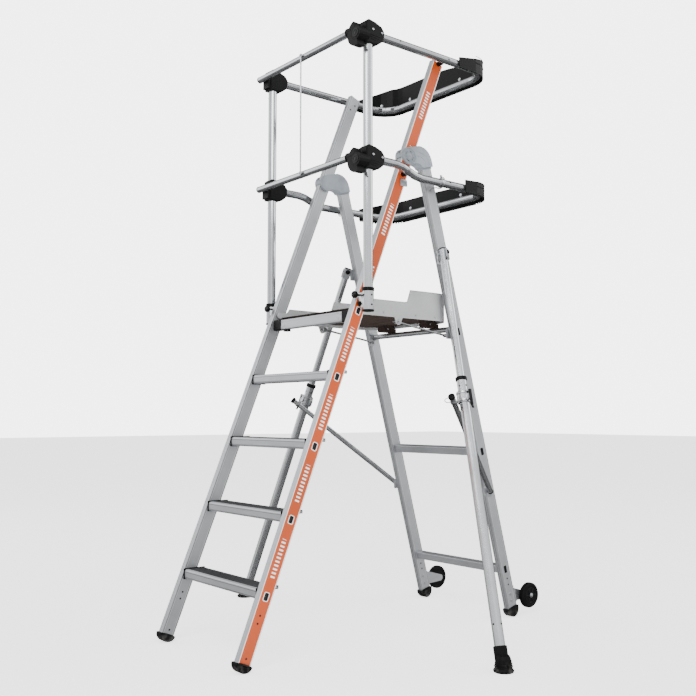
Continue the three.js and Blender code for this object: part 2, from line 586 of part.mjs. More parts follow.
// Axes at the leg's top: x along the clevis pin, z down the leg.
function legAxes() {
  const top = vec(LEG.top);
  const down = vec(LEG.foot).sub(top).normalize();
  const pin = down.clone().cross(vec(LEG.folded)).normalize();
  return new THREE.Matrix4().makeBasis(pin, down.clone().cross(pin), down).setPosition(top);
}

function clevis(side) {
  // A bracket on the rear stile's outer face with two ears beside the leg's top and a pin.
  const { ear, pin } = CLEVIS;
  const earPlate = (offset) => (
    alongX(extrude(roundedRectangle(30, 44, 8), ear)).translate(offset, 1, 9).applyMatrix4(legAxes())
  );
  const bolt = rodBetween([-20, 0, 0], [20, 0, 0], pin).applyMatrix4(legAxes());
  const web = box(REAR.outer + GAP, REAR.outer + 6, 886, 934, 1366, 1412);
  const stileSpace = box(0, REAR.outer + GAP, 700, 1100, 1200, 1600);
  const ears = [earPlate(-LEG.upperRadius - 2.5 - ear), earPlate(LEG.upperRadius + 2.5)];
  const whole = cut(join(web, ...ears, bolt), stileSpace);
  return side > 0 ? whole : mirrored(whole);
}

function legUpper(side) {
  const tube = rodBetween(legLine(1, -14), legLine(1, LEG.upperTo), LEG.upperRadius, LEG.upperBore);
  const pinHole = rodBetween([-20, 0, 0], [20, 0, 0], CLEVIS.pin + GAP).applyMatrix4(legAxes());
  const drilled = cut(tube, pinHole);
  return side > 0 ? drilled : mirrored(drilled);
}

function legLower(side) {
  return rodBetween(legLine(side, LEG.lowerFrom), legLine(side, LEG.footFrom), LEG.lowerRadius, LEG.lowerBore);
}

function legClamp(side) {
  const from = legLine(side, LEG.clampFrom);
  const to = legLine(side, LEG.clampFrom + LEG.clampLength);
  return rodBetween(from, to, LEG.lowerRadius + 6, LEG.lowerRadius + GAP);
}

function legFoot(side) {
  const profile = [[0, 0], [FOOT_PAD.radius, 0], [FOOT_PAD.radius, 8], [FOOT_PAD.radius - 4, 14],
    [FOOT_PAD.neck + 1, FOOT_PAD.height - 8], [FOOT_PAD.neck - 3, FOOT_PAD.height], [0, FOOT_PAD.height]];
  const cone = new THREE.LatheGeometry(profile.map((p) => new THREE.Vector2(...p)), 18).rotateX(Math.PI / 2);
  cone.translate(side * LEG.foot[0], LEG.foot[1], 0);
  const neck = rodBetween(legLine(side, LEG.footFrom - 26), legLine(side, LEG.footFrom + 30), FOOT_PAD.neck);
  const socket = rodBetween(legLine(side, LEG.footFrom - 80), legLine(side, LEG.footFrom + GAP), LEG.lowerRadius + GAP);
  return cut(join(cone, neck), socket);
}

for (const [hand, side] of SIDES) {
  add(group, `leg_clevis_${hand}`, clevis(side), SATIN_ALUMINIUM);
  add(group, `leg_upper_tube_${hand}`, legUpper(side), BRIGHT_ALUMINIUM);
  add(group, `leg_lower_tube_${hand}`, legLower(side), BRIGHT_ALUMINIUM);
  add(group, `leg_clamp_${hand}`, legClamp(side), BRIGHT_ALUMINIUM);
  add(group, `leg_foot_${hand}`, legFoot(side), BLACK_RUBBER);
  const ends = [STRUT.low, STRUT.high].map(([x, y, z]) => [side * x, y, z]);
  add(group, `leg_strut_${hand}`, rodBetween(...ends, STRUT.radius, STRUT.bore), BRIGHT_ALUMINIUM);
  add(group, `wheel_bracket_${hand}`, wheelBracket(side), SATIN_ALUMINIUM);
}

export default group;
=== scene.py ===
"""Finishes and small parts of a folding work platform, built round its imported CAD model."""
import math

import bmesh
import bpy
from mathutils import Matrix, Vector


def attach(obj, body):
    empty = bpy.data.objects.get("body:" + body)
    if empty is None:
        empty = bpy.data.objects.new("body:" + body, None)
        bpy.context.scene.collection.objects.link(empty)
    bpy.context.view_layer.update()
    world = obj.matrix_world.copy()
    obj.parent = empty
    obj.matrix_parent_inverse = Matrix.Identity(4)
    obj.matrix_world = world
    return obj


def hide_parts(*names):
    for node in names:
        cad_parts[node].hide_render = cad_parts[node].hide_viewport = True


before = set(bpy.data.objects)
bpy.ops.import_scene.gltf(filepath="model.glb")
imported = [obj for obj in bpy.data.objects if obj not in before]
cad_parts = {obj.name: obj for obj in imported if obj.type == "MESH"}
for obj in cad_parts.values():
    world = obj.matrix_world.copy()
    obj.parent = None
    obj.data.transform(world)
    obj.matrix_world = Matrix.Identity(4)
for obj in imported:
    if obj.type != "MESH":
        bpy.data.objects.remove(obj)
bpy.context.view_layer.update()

bl_info = {
    "name": "Folding work platform",
    "version": (1, 0, 0),
    "blender": (4, 5, 0),
    "location": "View3D > Sidebar > Platform",
    "description": "Finishes, hardware and stage of a folding aluminium work platform",
    "category": "Object",
}

# ---- where things are ---------------------------------------------------------------------------
# Lengths below are millimetres. y is counted from the foot of the front stiles' front faces.
FRONT_FOOT_Y = -714.4
FRONT_LEAN = math.radians(22)
REAR_LEAN = math.radians(15.2)
REAR_FOOT_Y = 1274.7
FRONT_OUTER = 262
REAR_OUTER = 259
STILE_WIDTH = 24
RUNG_HEIGHT = 30
RUNG_DEPTH = 26
RUNG_LEVELS = (190, 672)
STILE_DEPTH = 51
TREAD_TOPS = [247, 481, 715, 949]
TREAD_DEPTH = 80
TREAD_BODY = 54
TREAD_HEIGHT = 33
BEAM_WINDOW_Z = 1183
WINDOW_BELOW_TREAD = 14.5
POST_X = 300
POST_Y = 509
GATE_X = 308
GATE_BELOW_RAIL = 18
UPPER_RAIL_Z = 2152
LOWER_RAIL_Z = 1700
LOWER_RAIL_DIP_Z = 1668
RAIL_BACK_Y = 1130
RAIL_BEND = 85
LEG_TOP = Vector((288, 888, 1405))
LEG_FOOT = Vector((747, 680, 0))
LEG_FOLDED = Vector((0.03, 0.36, -0.94))
STRUT_LOW = Vector((272, 1154, 500))
STRUT_HIGH = Vector((473, 739, 861))
X_AXIS, Y_AXIS, Z_AXIS = Vector((1, 0, 0)), Vector((0, 1, 0)), Vector((0, 0, 1))
MM = 0.001

# Bars painted on the right front stile, in metres.
MARK_PITCH = 0.0125
MARK_WIDTH = 0.0055
MARK_REACH = 0.0085
MARK_AFTER_WINDOW = 0.046
MARK_BEFORE_WINDOW = 0.080


def place(x, y, z):
    """A point given in millimetres from the front feet, in metres in the model's own frame."""
    return Vector((x * MM, (y + FRONT_FOOT_Y) * MM, z * MM))


def leaning(origin_y, tilt):
    """Axes of a leaning frame: z runs up along its stiles and y is the depth of the stile."""
    return Matrix.Translation(place(0, origin_y, 0)) @ Matrix.Rotation(tilt, 4, "X")


FRONT_AXES = leaning(0, -FRONT_LEAN)
REAR_AXES = leaning(REAR_FOOT_Y, REAR_LEAN)


def on_axes(axes, x, y, z, normal=X_AXIS):
    """Matrix of a small part on a leaning frame, its own z pointing along the normal."""
    turn = normal.to_track_quat("Z", "Y").to_matrix().to_4x4()
    return axes @ Matrix.Translation(Vector((x, y, z)) * MM) @ turn


def facing(x, y, z, normal):
    """Matrix of a small part at a point, its own z pointing along the normal."""
    return Matrix.Translation(place(x, y, z)) @ Vector(normal).to_track_quat("Z", "Y").to_matrix().to_4x4()


def line_axes(start, end, side_hint):
    """Axes at the start of a slanting tube, with z along it and y turned away from the hint."""
    z = (end - start).normalized()
    x = z.cross(side_hint).normalized()
    y = z.cross(x)
    turn = Matrix((x, y, z)).transposed().to_4x4()
    return Matrix.Translation(place(*start)) @ turn


LEG_AXES = line_axes(LEG_TOP, LEG_FOOT, LEG_FOLDED)
STRUT_AXES = line_axes(STRUT_LOW, STRUT_HIGH, X_AXIS)


def u_line(start, offset, corner_steps=8, back_steps=12, side_steps=4):
    """(x, y) points and outward normals down the right side, round the back and up the left."""
    half, bend = POST_X + offset, RAIL_BEND + offset
    straight = RAIL_BACK_Y - RAIL_BEND
    side = [(half, start + (straight - start) * i / side_steps, 1, 0) for i in range(side_steps)]
    corner = []
    for i in range(corner_steps + 1):
        a = math.pi / 2 * i / corner_steps
        x, y = half - bend + bend * math.cos(a), straight + bend * math.sin(a)
        corner.append((x, y, math.cos(a), math.sin(a)))
    right = side + corner
    back_x = half - bend
    back = [(back_x * (1 - 2 * i / back_steps), straight + bend, 0, 1) for i in range(1, back_steps)]
    return right + back + [(-x, y, -nx, ny) for x, y, nx, ny in reversed(right)]


# ---- shader expressions -------------------------------------------------------------------------
class Field:
    """A value that changes over a surface, for use in ordinary arithmetic."""

    def __init__(self, finish, socket):
        self.finish = finish
        self.socket = socket

    def _math(self, operation, a, b=0.0):
        node = self.finish.node("ShaderNodeMath", {"operation": operation}, {0: a, 1: b})
        return Field(self.finish, node.outputs[0])

    def __add__(self, other):
        return self._math("ADD", self, other)

    def __radd__(self, other):
        return self._math("ADD", other, self)

    def __sub__(self, other):
        return self._math("SUBTRACT", self, other)

    def __rsub__(self, other):
        return self._math("SUBTRACT", other, self)

    def __mul__(self, other):
        return self._math("MULTIPLY", self, other)

    def __rmul__(self, other):
        return self._math("MULTIPLY", other, self)

    def __truediv__(self, other):
        return self._math("DIVIDE", self, other)

    def __gt__(self, other):
        return self._math("GREATER_THAN", self, other)

    def __lt__(self, other):
        return self._math("LESS_THAN", self, other)

    def __mod__(self, other):
        return self._math("FLOORED_MODULO", self, other)

    def __abs__(self):
        return self._math("ABSOLUTE", self)

    def low(self, other):
        return self._math("MINIMUM", self, other)

    def high(self, other):
        return self._math("MAXIMUM", self, other)


def linear(colour):
    """A screen colour as the linear colour that shaders take."""
    return [c / 12.92 if c <= 0.04045 else ((c + 0.055) / 1.055) ** 2.4 for c in colour[:3]]


class Finish:
    """One surface finish: a Principled shader and the nodes that drive it."""

    def __init__(self, name, roughness=0.5, metallic=0.0, **constants):
        self.material = bpy.data.materials.new(name)
        self.material.use_nodes = True
        self.tree = self.material.node_tree
        self.tree.nodes.clear()
        self.shader = self.node("ShaderNodeBsdfPrincipled")
        output = self.node("ShaderNodeOutputMaterial")
        self.tree.links.new(self.shader.outputs[0], output.inputs[0])
        self.drive("Roughness", roughness)
        self.drive("Metallic", metallic)
        for key, value in constants.items():
            self.drive(key.replace("_", " "), value)
        self.coords = self.node("ShaderNodeTexCoord").outputs["Object"]

    def node(self, kind, settings=None, inputs=None):
        """Adds a node: its settings first, then the values or links of its sockets."""
        node = self.tree.nodes.new(kind)
        for key, value in (settings or {}).items():
            if key == "stops":
                elements = node.color_ramp.elements
                while len(elements) < len(value):
                    elements.new(0.5)
                for element, (position, colour) in zip(elements, value):
                    element.position = position
                    shade = (colour,) * 3 if isinstance(colour, float) else colour
                    element.color = (*shade, 1.0)
            else:
                setattr(node, key, value)
        for key, value in (inputs or {}).items():
            self._feed(node.inputs[key], value)
        return node

    def _feed(self, socket, value):
        if isinstance(value, Field):
            value = value.socket
        if isinstance(value, bpy.types.NodeSocket):
            self.tree.links.new(value, socket)
        elif socket.type == "RGBA":
            socket.default_value = (*value[:3], 1.0)
        else:
            socket.default_value = value

    def drive(self, name, value):
        self._feed(self.shader.inputs[name], value)

    def axes(self, origin=(0, 0, 0), turn=(0, 0, 0)):
        """Object coordinates seen from an origin and a turn of the piece's own."""
        settings = {"vector_type": "TEXTURE"}
        inputs = {"Vector": self.coords, "Location": tuple(origin), "Rotation": tuple(turn)}
        return self.node("ShaderNodeMapping", settings, inputs).outputs[0]

    def stretched(self, vector, scale):
        inputs = {"Vector": vector, "Scale": scale}
        return self.node("ShaderNodeMapping", {"vector_type": "POINT"}, inputs).outputs[0]

    def split(self, vector):
        outputs = self.node("ShaderNodeSeparateXYZ", None, {0: vector}).outputs
        return [Field(self, socket) for socket in outputs]

    def noise(self, scale, detail=3.0, vector=None, roughness=0.5):
        inputs = {"Vector": vector or self.coords, "Scale": scale, "Detail": detail, "Roughness": roughness}
        return Field(self, self.node("ShaderNodeTexNoise", None, inputs).outputs[0])

    def cells(self, scale, vector=None):
        inputs = {"Vector": vector or self.coords, "Scale": scale}
        return Field(self, self.node("ShaderNodeTexVoronoi", None, inputs).outputs[0])

    def ramp(self, field, low, high):
        """The field spread from 0 at low to 1 at high, and held there beyond."""
        settings = {"interpolation_type": "SMOOTHSTEP"}
        node = self.node("ShaderNodeMapRange", settings, {0: field, 1: low, 2: high, 3: 0.0, 4: 1.0})
        return Field(self, node.outputs[0])

    def blend(self, amount, first, second):
        """first where the amount is 0, second where it is 1."""
        settings = {"data_type": "RGBA", "blend_type": "MIX"}
        node = self.node("ShaderNodeMix", settings, {0: amount, 6: first, 7: second})
        return node.outputs[2]

    def shaded(self, colour, field, low, high):
        """A colour made darker or lighter by a field."""
        dark = [c * low for c in colour]
        light = [min(c * high, 1.0) for c in colour]
        return self.blend(field, dark, light)

    def bump(self, height, strength, distance):
        inputs = {"Height": height, "Strength": strength, "Distance": distance}
        self.drive("Normal", self.node("ShaderNodeBump", None, inputs).outputs[0])

    def band(self, field, low, high, soft=0.0002):
        """1 between two levels and 0 outside them."""
        return self.ramp(field, low - soft, low + soft) * (1.0 - self.ramp(field, high - soft, high + soft))


def groove_shade_and_bead_highlight(finish, vector, middle):
    """Dark lines painted as the shade of fine grooves, near both edges of a stile's sides and two down its
    front and back, and pale lines beside the side ones painted as bead highlights.
    """
    x, depth, _ = finish.split(vector)
    half = STILE_DEPTH / 2 * MM
    from_edge = half - abs(depth - half)
    from_middle = abs(abs(x) - middle * MM)
    groove_shade = finish.band(from_edge, 4.2 * MM, 5.8 * MM, 0.0003)
    groove_shade = groove_shade.high(finish.band(from_middle, 3.4 * MM, 4.8 * MM, 0.0003))
    bead_highlight = finish.band(from_edge, 6.2 * MM, 8.0 * MM, 0.0003)
    return groove_shade, bead_highlight


def aluminium(name, colour, roughness, streak_axes=None, streaks=0.12, metallic=0.85, middle=None):
    """Mill-finished aluminium: fine drawing streaks, faint smudges and slightly uneven gloss."""
    finish = Finish(name)
    origin, turn, scale = streak_axes or ((0, 0, 0), (0, 0, 0), (420, 420, 420))
    drawn = finish.noise(1.0, 4.0, finish.stretched(finish.axes(origin, turn), scale))
    smudge = finish.noise(7.0, 4.0, roughness=0.6)
    speck = finish.noise(260.0, 2.0)
    tone = drawn * streaks + smudge * (0.9 - streaks) + speck * 0.1
    base = finish.shaded(linear(colour), finish.ramp(tone, 0.25, 0.75), 0.86, 1.08)
    relief = drawn * 0.6 + speck * 0.4
    # With a middle given, dark lines are painted as groove shade and pale lines as bead highlights.
    if middle:
        groove_shade, bead_highlight = groove_shade_and_bead_highlight(finish, finish.axes(origin, turn), middle)
        base = finish.blend(groove_shade * 0.9, base, [c * 0.12 for c in linear(colour)])
        base = finish.blend(bead_highlight * 0.7, base, [0.92, 0.92, 0.92])
    finish.drive("Base Color", base)
    finish.drive("Roughness", roughness + (drawn - 0.5) * 0.16 + (smudge - 0.5) * 0.22)
    finish.drive("Metallic", metallic)
    finish.bump(relief, 0.12, 0.0002)
    return finish


def step_aluminium(name, colour):
    """A tread's extrusion, drawn along its length, with two dark bands across its front face painted as the
    shade in grooves.
    """
    finish = Finish(name)
    drawn = finish.noise(1.0, 4.0, finish.stretched(finish.coords, (5, 420, 420)))
    smudge = finish.noise(7.0, 4.0, roughness=0.6)
    base = finish.shaded(linear(colour), finish.ramp(drawn * 0.4 + smudge * 0.6, 0.25, 0.75), 0.84, 1.08)
    pitch = (TREAD_TOPS[1] - TREAD_TOPS[0]) * MM
    below_top = pitch - (finish.split(finish.coords)[2] - TREAD_TOPS[0] * MM + 2 * pitch) % pitch
    # Two dark bands on each tread's front: painted shade standing in for grooves.
    upper = finish.band(below_top, 8.2 * MM, 9.8 * MM, 0.0004)
    lower = finish.band(below_top, 26.5 * MM, 28.0 * MM, 0.0004)
    tread_groove_shade = upper.high(lower) * 0.85
    finish.drive("Base Color", finish.blend(tread_groove_shade, base, [c * 0.15 for c in linear(colour)]))
    finish.drive("Roughness", 0.38 + (drawn - 0.5) * 0.16 + (smudge - 0.5) * 0.2)
    finish.drive("Metallic", 0.85)
    finish.bump(drawn, 0.12, 0.0002)
    return finish


def stile_paint(name, colours):
    """The front stile whose outer face is painted, with pale edge lines and plain height marks."""
    finish = Finish(name)
    local = finish.axes(FRONT_AXES.translation, (-FRONT_LEAN, 0, 0))
    x, depth, along = finish.split(local)
    drawn = finish.noise(1.0, 4.0, finish.stretched(local, (420, 420, 4)))
    smudge = finish.noise(6.0, 4.0)
    worn = finish.ramp(drawn * 0.4 + smudge * 0.6, 0.3, 0.7)
    metal = finish.shaded(linear(colours.satin), worn, 0.84, 1.06)
    on_face = finish.ramp(x, (FRONT_OUTER - 0.9) * MM, (FRONT_OUTER - 0.5) * MM)
    inside = finish.band(depth, 4.6 * MM, (STILE_DEPTH - 4.6) * MM)
    edge = finish.band(depth, 2.2 * MM, (STILE_DEPTH - 2.2) * MM)
    patch = finish.noise(3.0, 3.0)
    paint = finish.shaded(linear(colours.paint), finish.ramp(patch, 0.3, 0.7), 0.88, 1.07)
    pale = linear(colours.mark)
    marks = height_marks(finish, depth, along)
    painted = finish.blend(marks, paint, pale)
    scratch = finish.ramp(finish.noise(1.0, 5.0, finish.stretched(local, (900, 900, 30))), 0.70, 0.78)
    scuffed = scratch * finish.ramp(finish.noise(11.0, 2.0), 0.58, 0.72) * 0.55
    painted = finish.blend(scuffed, painted, pale)
    face = finish.blend(inside, pale, painted)
    covered = on_face * edge
    finish.drive("Base Color", finish.blend(covered, metal, face))
    finish.drive("Metallic", (1.0 - covered) * 0.85)
    finish.drive("Roughness", 0.40 + (smudge - 0.5) * 0.2 + covered * 0.05)
    grain = finish.noise(700.0, 2.0)
    finish.bump(grain * 0.5 + drawn * 0.5, 0.10, 0.0002)
    return finish


def height_marks(finish, depth, along):
    """Plain pale bars, all alike, between the stile's windows."""
    total = None
    tops = [*TREAD_TOPS, BEAM_WINDOW_Z, 1412, 1646, 1880, 2110]
    for low, high in zip(tops, tops[1:]):
        start = low * MM / math.cos(FRONT_LEAN) + MARK_AFTER_WINDOW
        end = high * MM / math.cos(FRONT_LEAN) - MARK_BEFORE_WINDOW
        ticks = finish.band((along - start) % MARK_PITCH, 0.0, MARK_WIDTH, 0.0004)
        across = 1.0 - finish.ramp(abs(depth - STILE_DEPTH / 2 * MM) - MARK_REACH, -0.0003, 0.0003)
        bars = ticks * across * finish.band(along, start, end)
        total = bars if total is None else total.high(bars)
    return total


def moulded(name, colour, roughness, grain=900.0, depth=0.0003, coat=0.0, sheen=0.14):
    """Moulded plastic: a fine leathery grain and paler rubbed spots."""
    finish = Finish(name, Coat_Weight=coat, Specular_IOR_Level=sheen)
    fine = finish.noise(grain, 3.0)
    cloud = finish.noise(9.0, 4.0)
    rubbed = finish.ramp(finish.noise(34.0, 5.0, roughness=0.7), 0.62, 0.80)
    base = linear(colour)
    tone = finish.shaded(base, finish.ramp(cloud, 0.3, 0.7), 0.82, 1.25)
    lighter = [min(c * 1.5 + 0.003, 1.0) for c in base]
    finish.drive("Base Color", finish.blend(rubbed * 0.35, tone, lighter))
    finish.drive("Roughness", roughness + (cloud - 0.5) * 0.16 + rubbed * 0.08)
    finish.bump(fine * 0.7 + finish.cells(grain * 0.7) * 0.3, 0.22, depth)
    return finish


def rubber(name, colour):
    """Rubber with a dusty bloom near the floor and a coarse moulded skin."""
    finish = Finish(name, Specular_IOR_Level=0.14)
    height = finish.split(finish.coords)[2]
    dust = (1.0 - finish.ramp(height, 0.0, 0.045)) * finish.ramp(finish.noise(60.0, 4.0), 0.42, 0.66)
    skin = finish.noise(420.0, 3.0)
    base = linear(colour)
    tone = finish.shaded(base, finish.ramp(finish.noise(14.0, 3.0), 0.3, 0.7), 0.8, 1.3)
    grey = [0.10, 0.095, 0.088]
    finish.drive("Base Color", finish.blend(dust * 0.45, tone, grey))
    finish.drive("Roughness", 0.62 + dust * 0.2 + (skin - 0.5) * 0.12)
    finish.bump(skin, 0.25, 0.0004)
    return finish


def faced_ply(name, colour):
    """Phenolic-faced plywood: a wire-mesh print on top."""
    finish = Finish(name, Specular_IOR_Level=0.0)
    x, y, z = finish.split(finish.coords)
    grain = finish.noise(1.0, 5.0, finish.stretched(finish.coords, (9, 130, 260)))
    base = linear(colour)
    tone = finish.shaded(base, finish.ramp(grain, 0.3, 0.7), 0.7, 1.45)
    mesh_x = finish.band((x + 1.0) % 0.006, 0.0, 0.0018, 0.0003)
    mesh_y = finish.band((y + 1.0) % 0.006, 0.0, 0.0018, 0.0003)
    top = finish.ramp(z, 1.1772, 1.1776)
    printed = mesh_x.high(mesh_y) * top
    finish.drive("Base Color", finish.blend(printed * 0.5, tone, [c * 0.5 for c in base]))
    finish.drive("Roughness", 0.75 + (grain - 0.5) * 0.2)
    finish.bump(printed * 0.8 + grain * 0.2, 0.35, 0.0006)
    return finish


def painted_hole_shade(name):
    """Painted shade: a near-black colour for discs and plates put where the shaded inside of a hole is seen.
    """
    finish = Finish(name)
    # Near-black painted shade with a fine mottle.
    shade_mottle = finish.noise(300.0, 3.0)
    finish.drive("Base Color", finish.shaded([0.008, 0.008, 0.009], shade_mottle, 0.5, 1.8))
    finish.drive("Roughness", 0.7 + (shade_mottle - 0.5) * 0.2)
    return finish


def plated_steel(name):
    """Zinc-plated steel of rivets, bolts, clips and wires."""
    finish = Finish(name, Metallic=1.0)
    blotch = finish.noise(120.0, 4.0, roughness=0.6)
    scratch = finish.noise(1.0, 3.0, finish.stretched(finish.coords, (700, 90, 700)))
    tone = finish.ramp(blotch * 0.7 + scratch * 0.3, 0.3, 0.7)
    finish.drive("Base Color", finish.shaded(linear((0.82, 0.83, 0.84)), tone, 0.78, 1.08))
    finish.drive("Roughness", 0.26 + blotch * 0.18)
    finish.bump(scratch, 0.10, 0.0002)
    return finish


FINISHES = {}


# ---- modelling helpers --------------------------------------------------------------------------
def clear_selection():
    """Back to object mode with nothing selected."""
    if bpy.context.mode != "OBJECT":
        bpy.ops.object.mode_set(mode="OBJECT")
    bpy.ops.object.select_all(action="DESELECT")


def pick(obj):
    """Makes one object the only selected one, and the active one."""
    clear_selection()
    obj.select_set(True)
    bpy.context.view_layer.objects.active = obj


def settle(obj):
    """Puts an object's place into its mesh."""
    pick(obj)
    bpy.ops.object.transform_apply(location=True, rotation=True, scale=True)
    return obj


def choose(obj, kind, test):
    """Enters edit mode and selects the faces, edges or vertices that pass a test."""
    pick(obj)
    bpy.ops.object.mode_set(mode="EDIT")
    bpy.ops.mesh.select_mode(type=kind)
    bpy.ops.mesh.select_all(action="DESELECT")
    shape = bmesh.from_edit_mesh(obj.data)
    items = {"FACE": shape.faces, "EDGE": shape.edges, "VERT": shape.verts}[kind]
    items.ensure_lookup_table()
    for item in items:
        if test(item):
            item.select_set(True)
    bmesh.update_edit_mesh(obj.data)


def leave_edit():
    bpy.ops.object.mode_set(mode="OBJECT")


def push(x=0.0, y=0.0, z=0.0):
    """Extrudes what is selected by an offset."""
    bpy.ops.mesh.extrude_region_move(TRANSFORM_OT_translate={"value": (x, y, z)})


def looks(direction):
    """A test for faces that point along a direction."""
    return lambda face: face.normal.dot(Vector(direction)) > 0.99


def runs_along(axis):
    """A test for edges that run along an axis."""
    def test(edge):
        line = edge.verts[1].co - edge.verts[0].co
        return abs(line.normalized()[axis]) > 0.99
    return test


def soften(obj, width, segments=2, angle=40):
    """Rounds an object's sharp edges."""
    modifier = obj.modifiers.new("edge", "BEVEL")
    modifier.width = width * MM
    modifier.segments = segments
    modifier.limit_method = "ANGLE"
    modifier.angle_limit = math.radians(angle)
    modifier.harden_normals = False
    pick(obj)
    bpy.ops.object.modifier_apply(modifier=modifier.name)
    return obj


def block(size, at=(0, 0, 0), corner=0.0, axis=2, edge=0.0):
    """A bar of a size round a point, in millimetres, with rounded corners along one axis."""
    clear_selection()
    bpy.ops.mesh.primitive_cube_add(size=1, location=Vector(at) * MM)
    obj = bpy.context.object
    obj.scale = Vector(size) * MM
    settle(obj)
    if corner:
        choose(obj, "EDGE", runs_along(axis))
        bpy.ops.mesh.bevel(offset=corner * MM, segments=4, affect="EDGES")
        leave_edit()
    return soften(obj, edge) if edge else obj


def disc(radius, length, start=0.0, sides=20, edge=0.0):
    """A round bar along +Z from a level, in millimetres."""
    clear_selection()
    middle = (0, 0, (start + length / 2) * MM)
    bpy.ops.mesh.primitive_cylinder_add(
        vertices=sides, radius=radius * MM, depth=length * MM, location=middle)
    obj = settle(bpy.context.object)
    return soften(obj, edge, 2) if edge else obj


def hollow(obj, border, axis=2):
    """Cuts a see-through opening along an axis, leaving a border of a width in millimetres."""
    choose(obj, "FACE", lambda face: abs(face.normal[axis]) > 0.99)
    bpy.ops.mesh.inset(thickness=border * MM, depth=0)
    bpy.ops.mesh.bridge_edge_loops()
    leave_edit()
    return obj


def tube(outer, inner, length, start=0.0, sides=24, edge=0.0):
    """A round sleeve along +Z from a level, in millimetres."""
    obj = hollow(disc(outer, length, start, sides), outer - inner)
    return soften(obj, edge, 1, 60) if edge else obj


def domed(radius, height, dimple=0.0, sides=14):
    """A rivet or button head on z = 0: a round bar with its rim bevelled and its middle pressed in."""
    obj = disc(radius, height, 0, sides)
    choose(obj, "FACE", looks(Z_AXIS))
    bpy.ops.mesh.bevel(offset=height * 0.6 * MM, segments=3, affect="EDGES")
    leave_edit()
    if dimple:
        choose(obj, "FACE", looks(Z_AXIS))
        bpy.ops.mesh.inset(thickness=radius * 0.25 * MM, depth=0)
        push(z=-dimple * MM)
        leave_edit()
    return obj


def hex_bolt(radius, height, washer=0.0):
    """A hexagon head with a washer under it, on z = 0."""
    head = disc(radius, height, 0.8, 6)
    choose(head, "FACE", looks(Z_AXIS))
    bpy.ops.mesh.bevel(offset=height * 0.25 * MM, segments=2, affect="EDGES")
    leave_edit()
    ring = disc(washer or radius * 1.35, 1.2, 0, 20, 0.3)
    return merged([head, ring])


def merged(objects):
    """Joins objects into the first one."""
    clear_selection()
    for obj in objects:
        obj.select_set(True)
    bpy.context.view_layer.objects.active = objects[0]
    if len(objects) > 1:
        bpy.ops.object.join()
    return bpy.context.object


def moved(obj, matrix):
    """The object taken to a place, with the place in its mesh."""
    obj.matrix_world = matrix @ obj.matrix_world
    return settle(obj)


def stamped(shape, matrices):
    """One object holding a copy of a shape at each place."""
    copies = []
    for matrix in matrices:
        twin = shape.copy()
        twin.data = shape.data.copy()
        twin.data.transform(matrix)
        bpy.context.collection.objects.link(twin)
        copies.append(twin)
    bpy.data.objects.remove(shape)
    return merged(copies)


def wire(points, radius, closed=False, sides=3):
    """A round wire through points given in metres."""
    clear_selection()
    bpy.ops.curve.primitive_nurbs_path_add(location=(0, 0, 0))
    obj = bpy.context.object
    curve = obj.data
    curve.splines.clear()
    spline = curve.splines.new("POLY")
    spline.points.add(len(points) - 1)
    for target, point in zip(spline.points, points):
        target.co = (*point, 1)
    spline.use_cyclic_u = closed
    curve.bevel_depth = radius * MM
    curve.bevel_resolution = sides
    curve.use_fill_caps = True
    bpy.ops.object.convert(target="MESH")
    return bpy.context.object


def mirror_copy(obj):
    """The same shape on the other side, its faces still pointing out."""
    pick(obj)
    bpy.ops.object.duplicate()
    twin = bpy.context.object
    twin.scale.x = -1
    settle(twin)
    tidy_normals(twin)
    return twin


def tidy_normals(obj):
    pick(obj)
    bpy.ops.object.mode_set(mode="EDIT")
    bpy.ops.mesh.select_all(action="SELECT")
    bpy.ops.mesh.remove_doubles(threshold=1e-6)
    bpy.ops.mesh.normals_make_consistent(inside=False)
    leave_edit()


def finish_piece(obj, name, body, finish, angle=35):
    """Names a piece, gives it its finish and lets it ride on a body."""
    obj.name = name
    obj.data.name = name
    obj.data.materials.clear()
    obj.data.materials.append(FINISHES[finish].material)
    tidy_normals(obj)
    pick(obj)
    bpy.ops.object.shade_smooth_by_angle(angle=math.radians(angle))
    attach(obj, body)
    return obj


def pair(obj, name, body, finish, angle=35):
    """A right-hand piece and its mirror image. A body that has two sides is named with {}."""
    twin = mirror_copy(obj)
    finish_piece(obj, name + "_right", body.format("right"), finish, angle)
    finish_piece(twin, name + "_left", body.format("left"), finish, angle)


# ---- sizes and colours that a user would change ---------------------------------------------------
def colour(name, description, default):
    return bpy.props.FloatVectorProperty(
        name=name, description=description, default=default, subtype="COLOR", size=3, min=0, max=1,
    )


def length(name, description, default):
    """A size in millimetres, kept as a plain number because every sum here is in millimetres."""
    return bpy.props.FloatProperty(name=name, description=description, default=default, min=0.1, precision=2)


class PlatformColours(bpy.types.PropertyGroup):
    """Colours of the finishes, as they look on a screen"""
    satin: colour("Stiles and treads", "Mill-finished extrusions", (0.735, 0.745, 0.76))
    bright: colour("Round tubes", "Guardrail, legs and rods", (0.80, 0.81, 0.82))
    sheet: colour("Toe board", "Bent aluminium sheet", (0.80, 0.805, 0.81))
    paint: colour("Painted stile", "Paint on the right front stile", (0.72, 0.27, 0.03))
    mark: colour("Pale marks", "Edge lines and height marks", (0.95, 0.94, 0.92))
    black: colour("Black plastic", "Joints, caps and trays", (0.045, 0.046, 0.048))
    grey: colour("Elbows", "Grey plastic of the folding elbows", (0.50, 0.525, 0.55))
    grip: colour("Tread grips", "Dark ribs on the treads", (0.22, 0.225, 0.23))
    rubber: colour("Rubber", "Feet and tyres", (0.040, 0.041, 0.043))
    ply: colour("Deck", "Phenolic-faced plywood", (0.16, 0.135, 0.125))


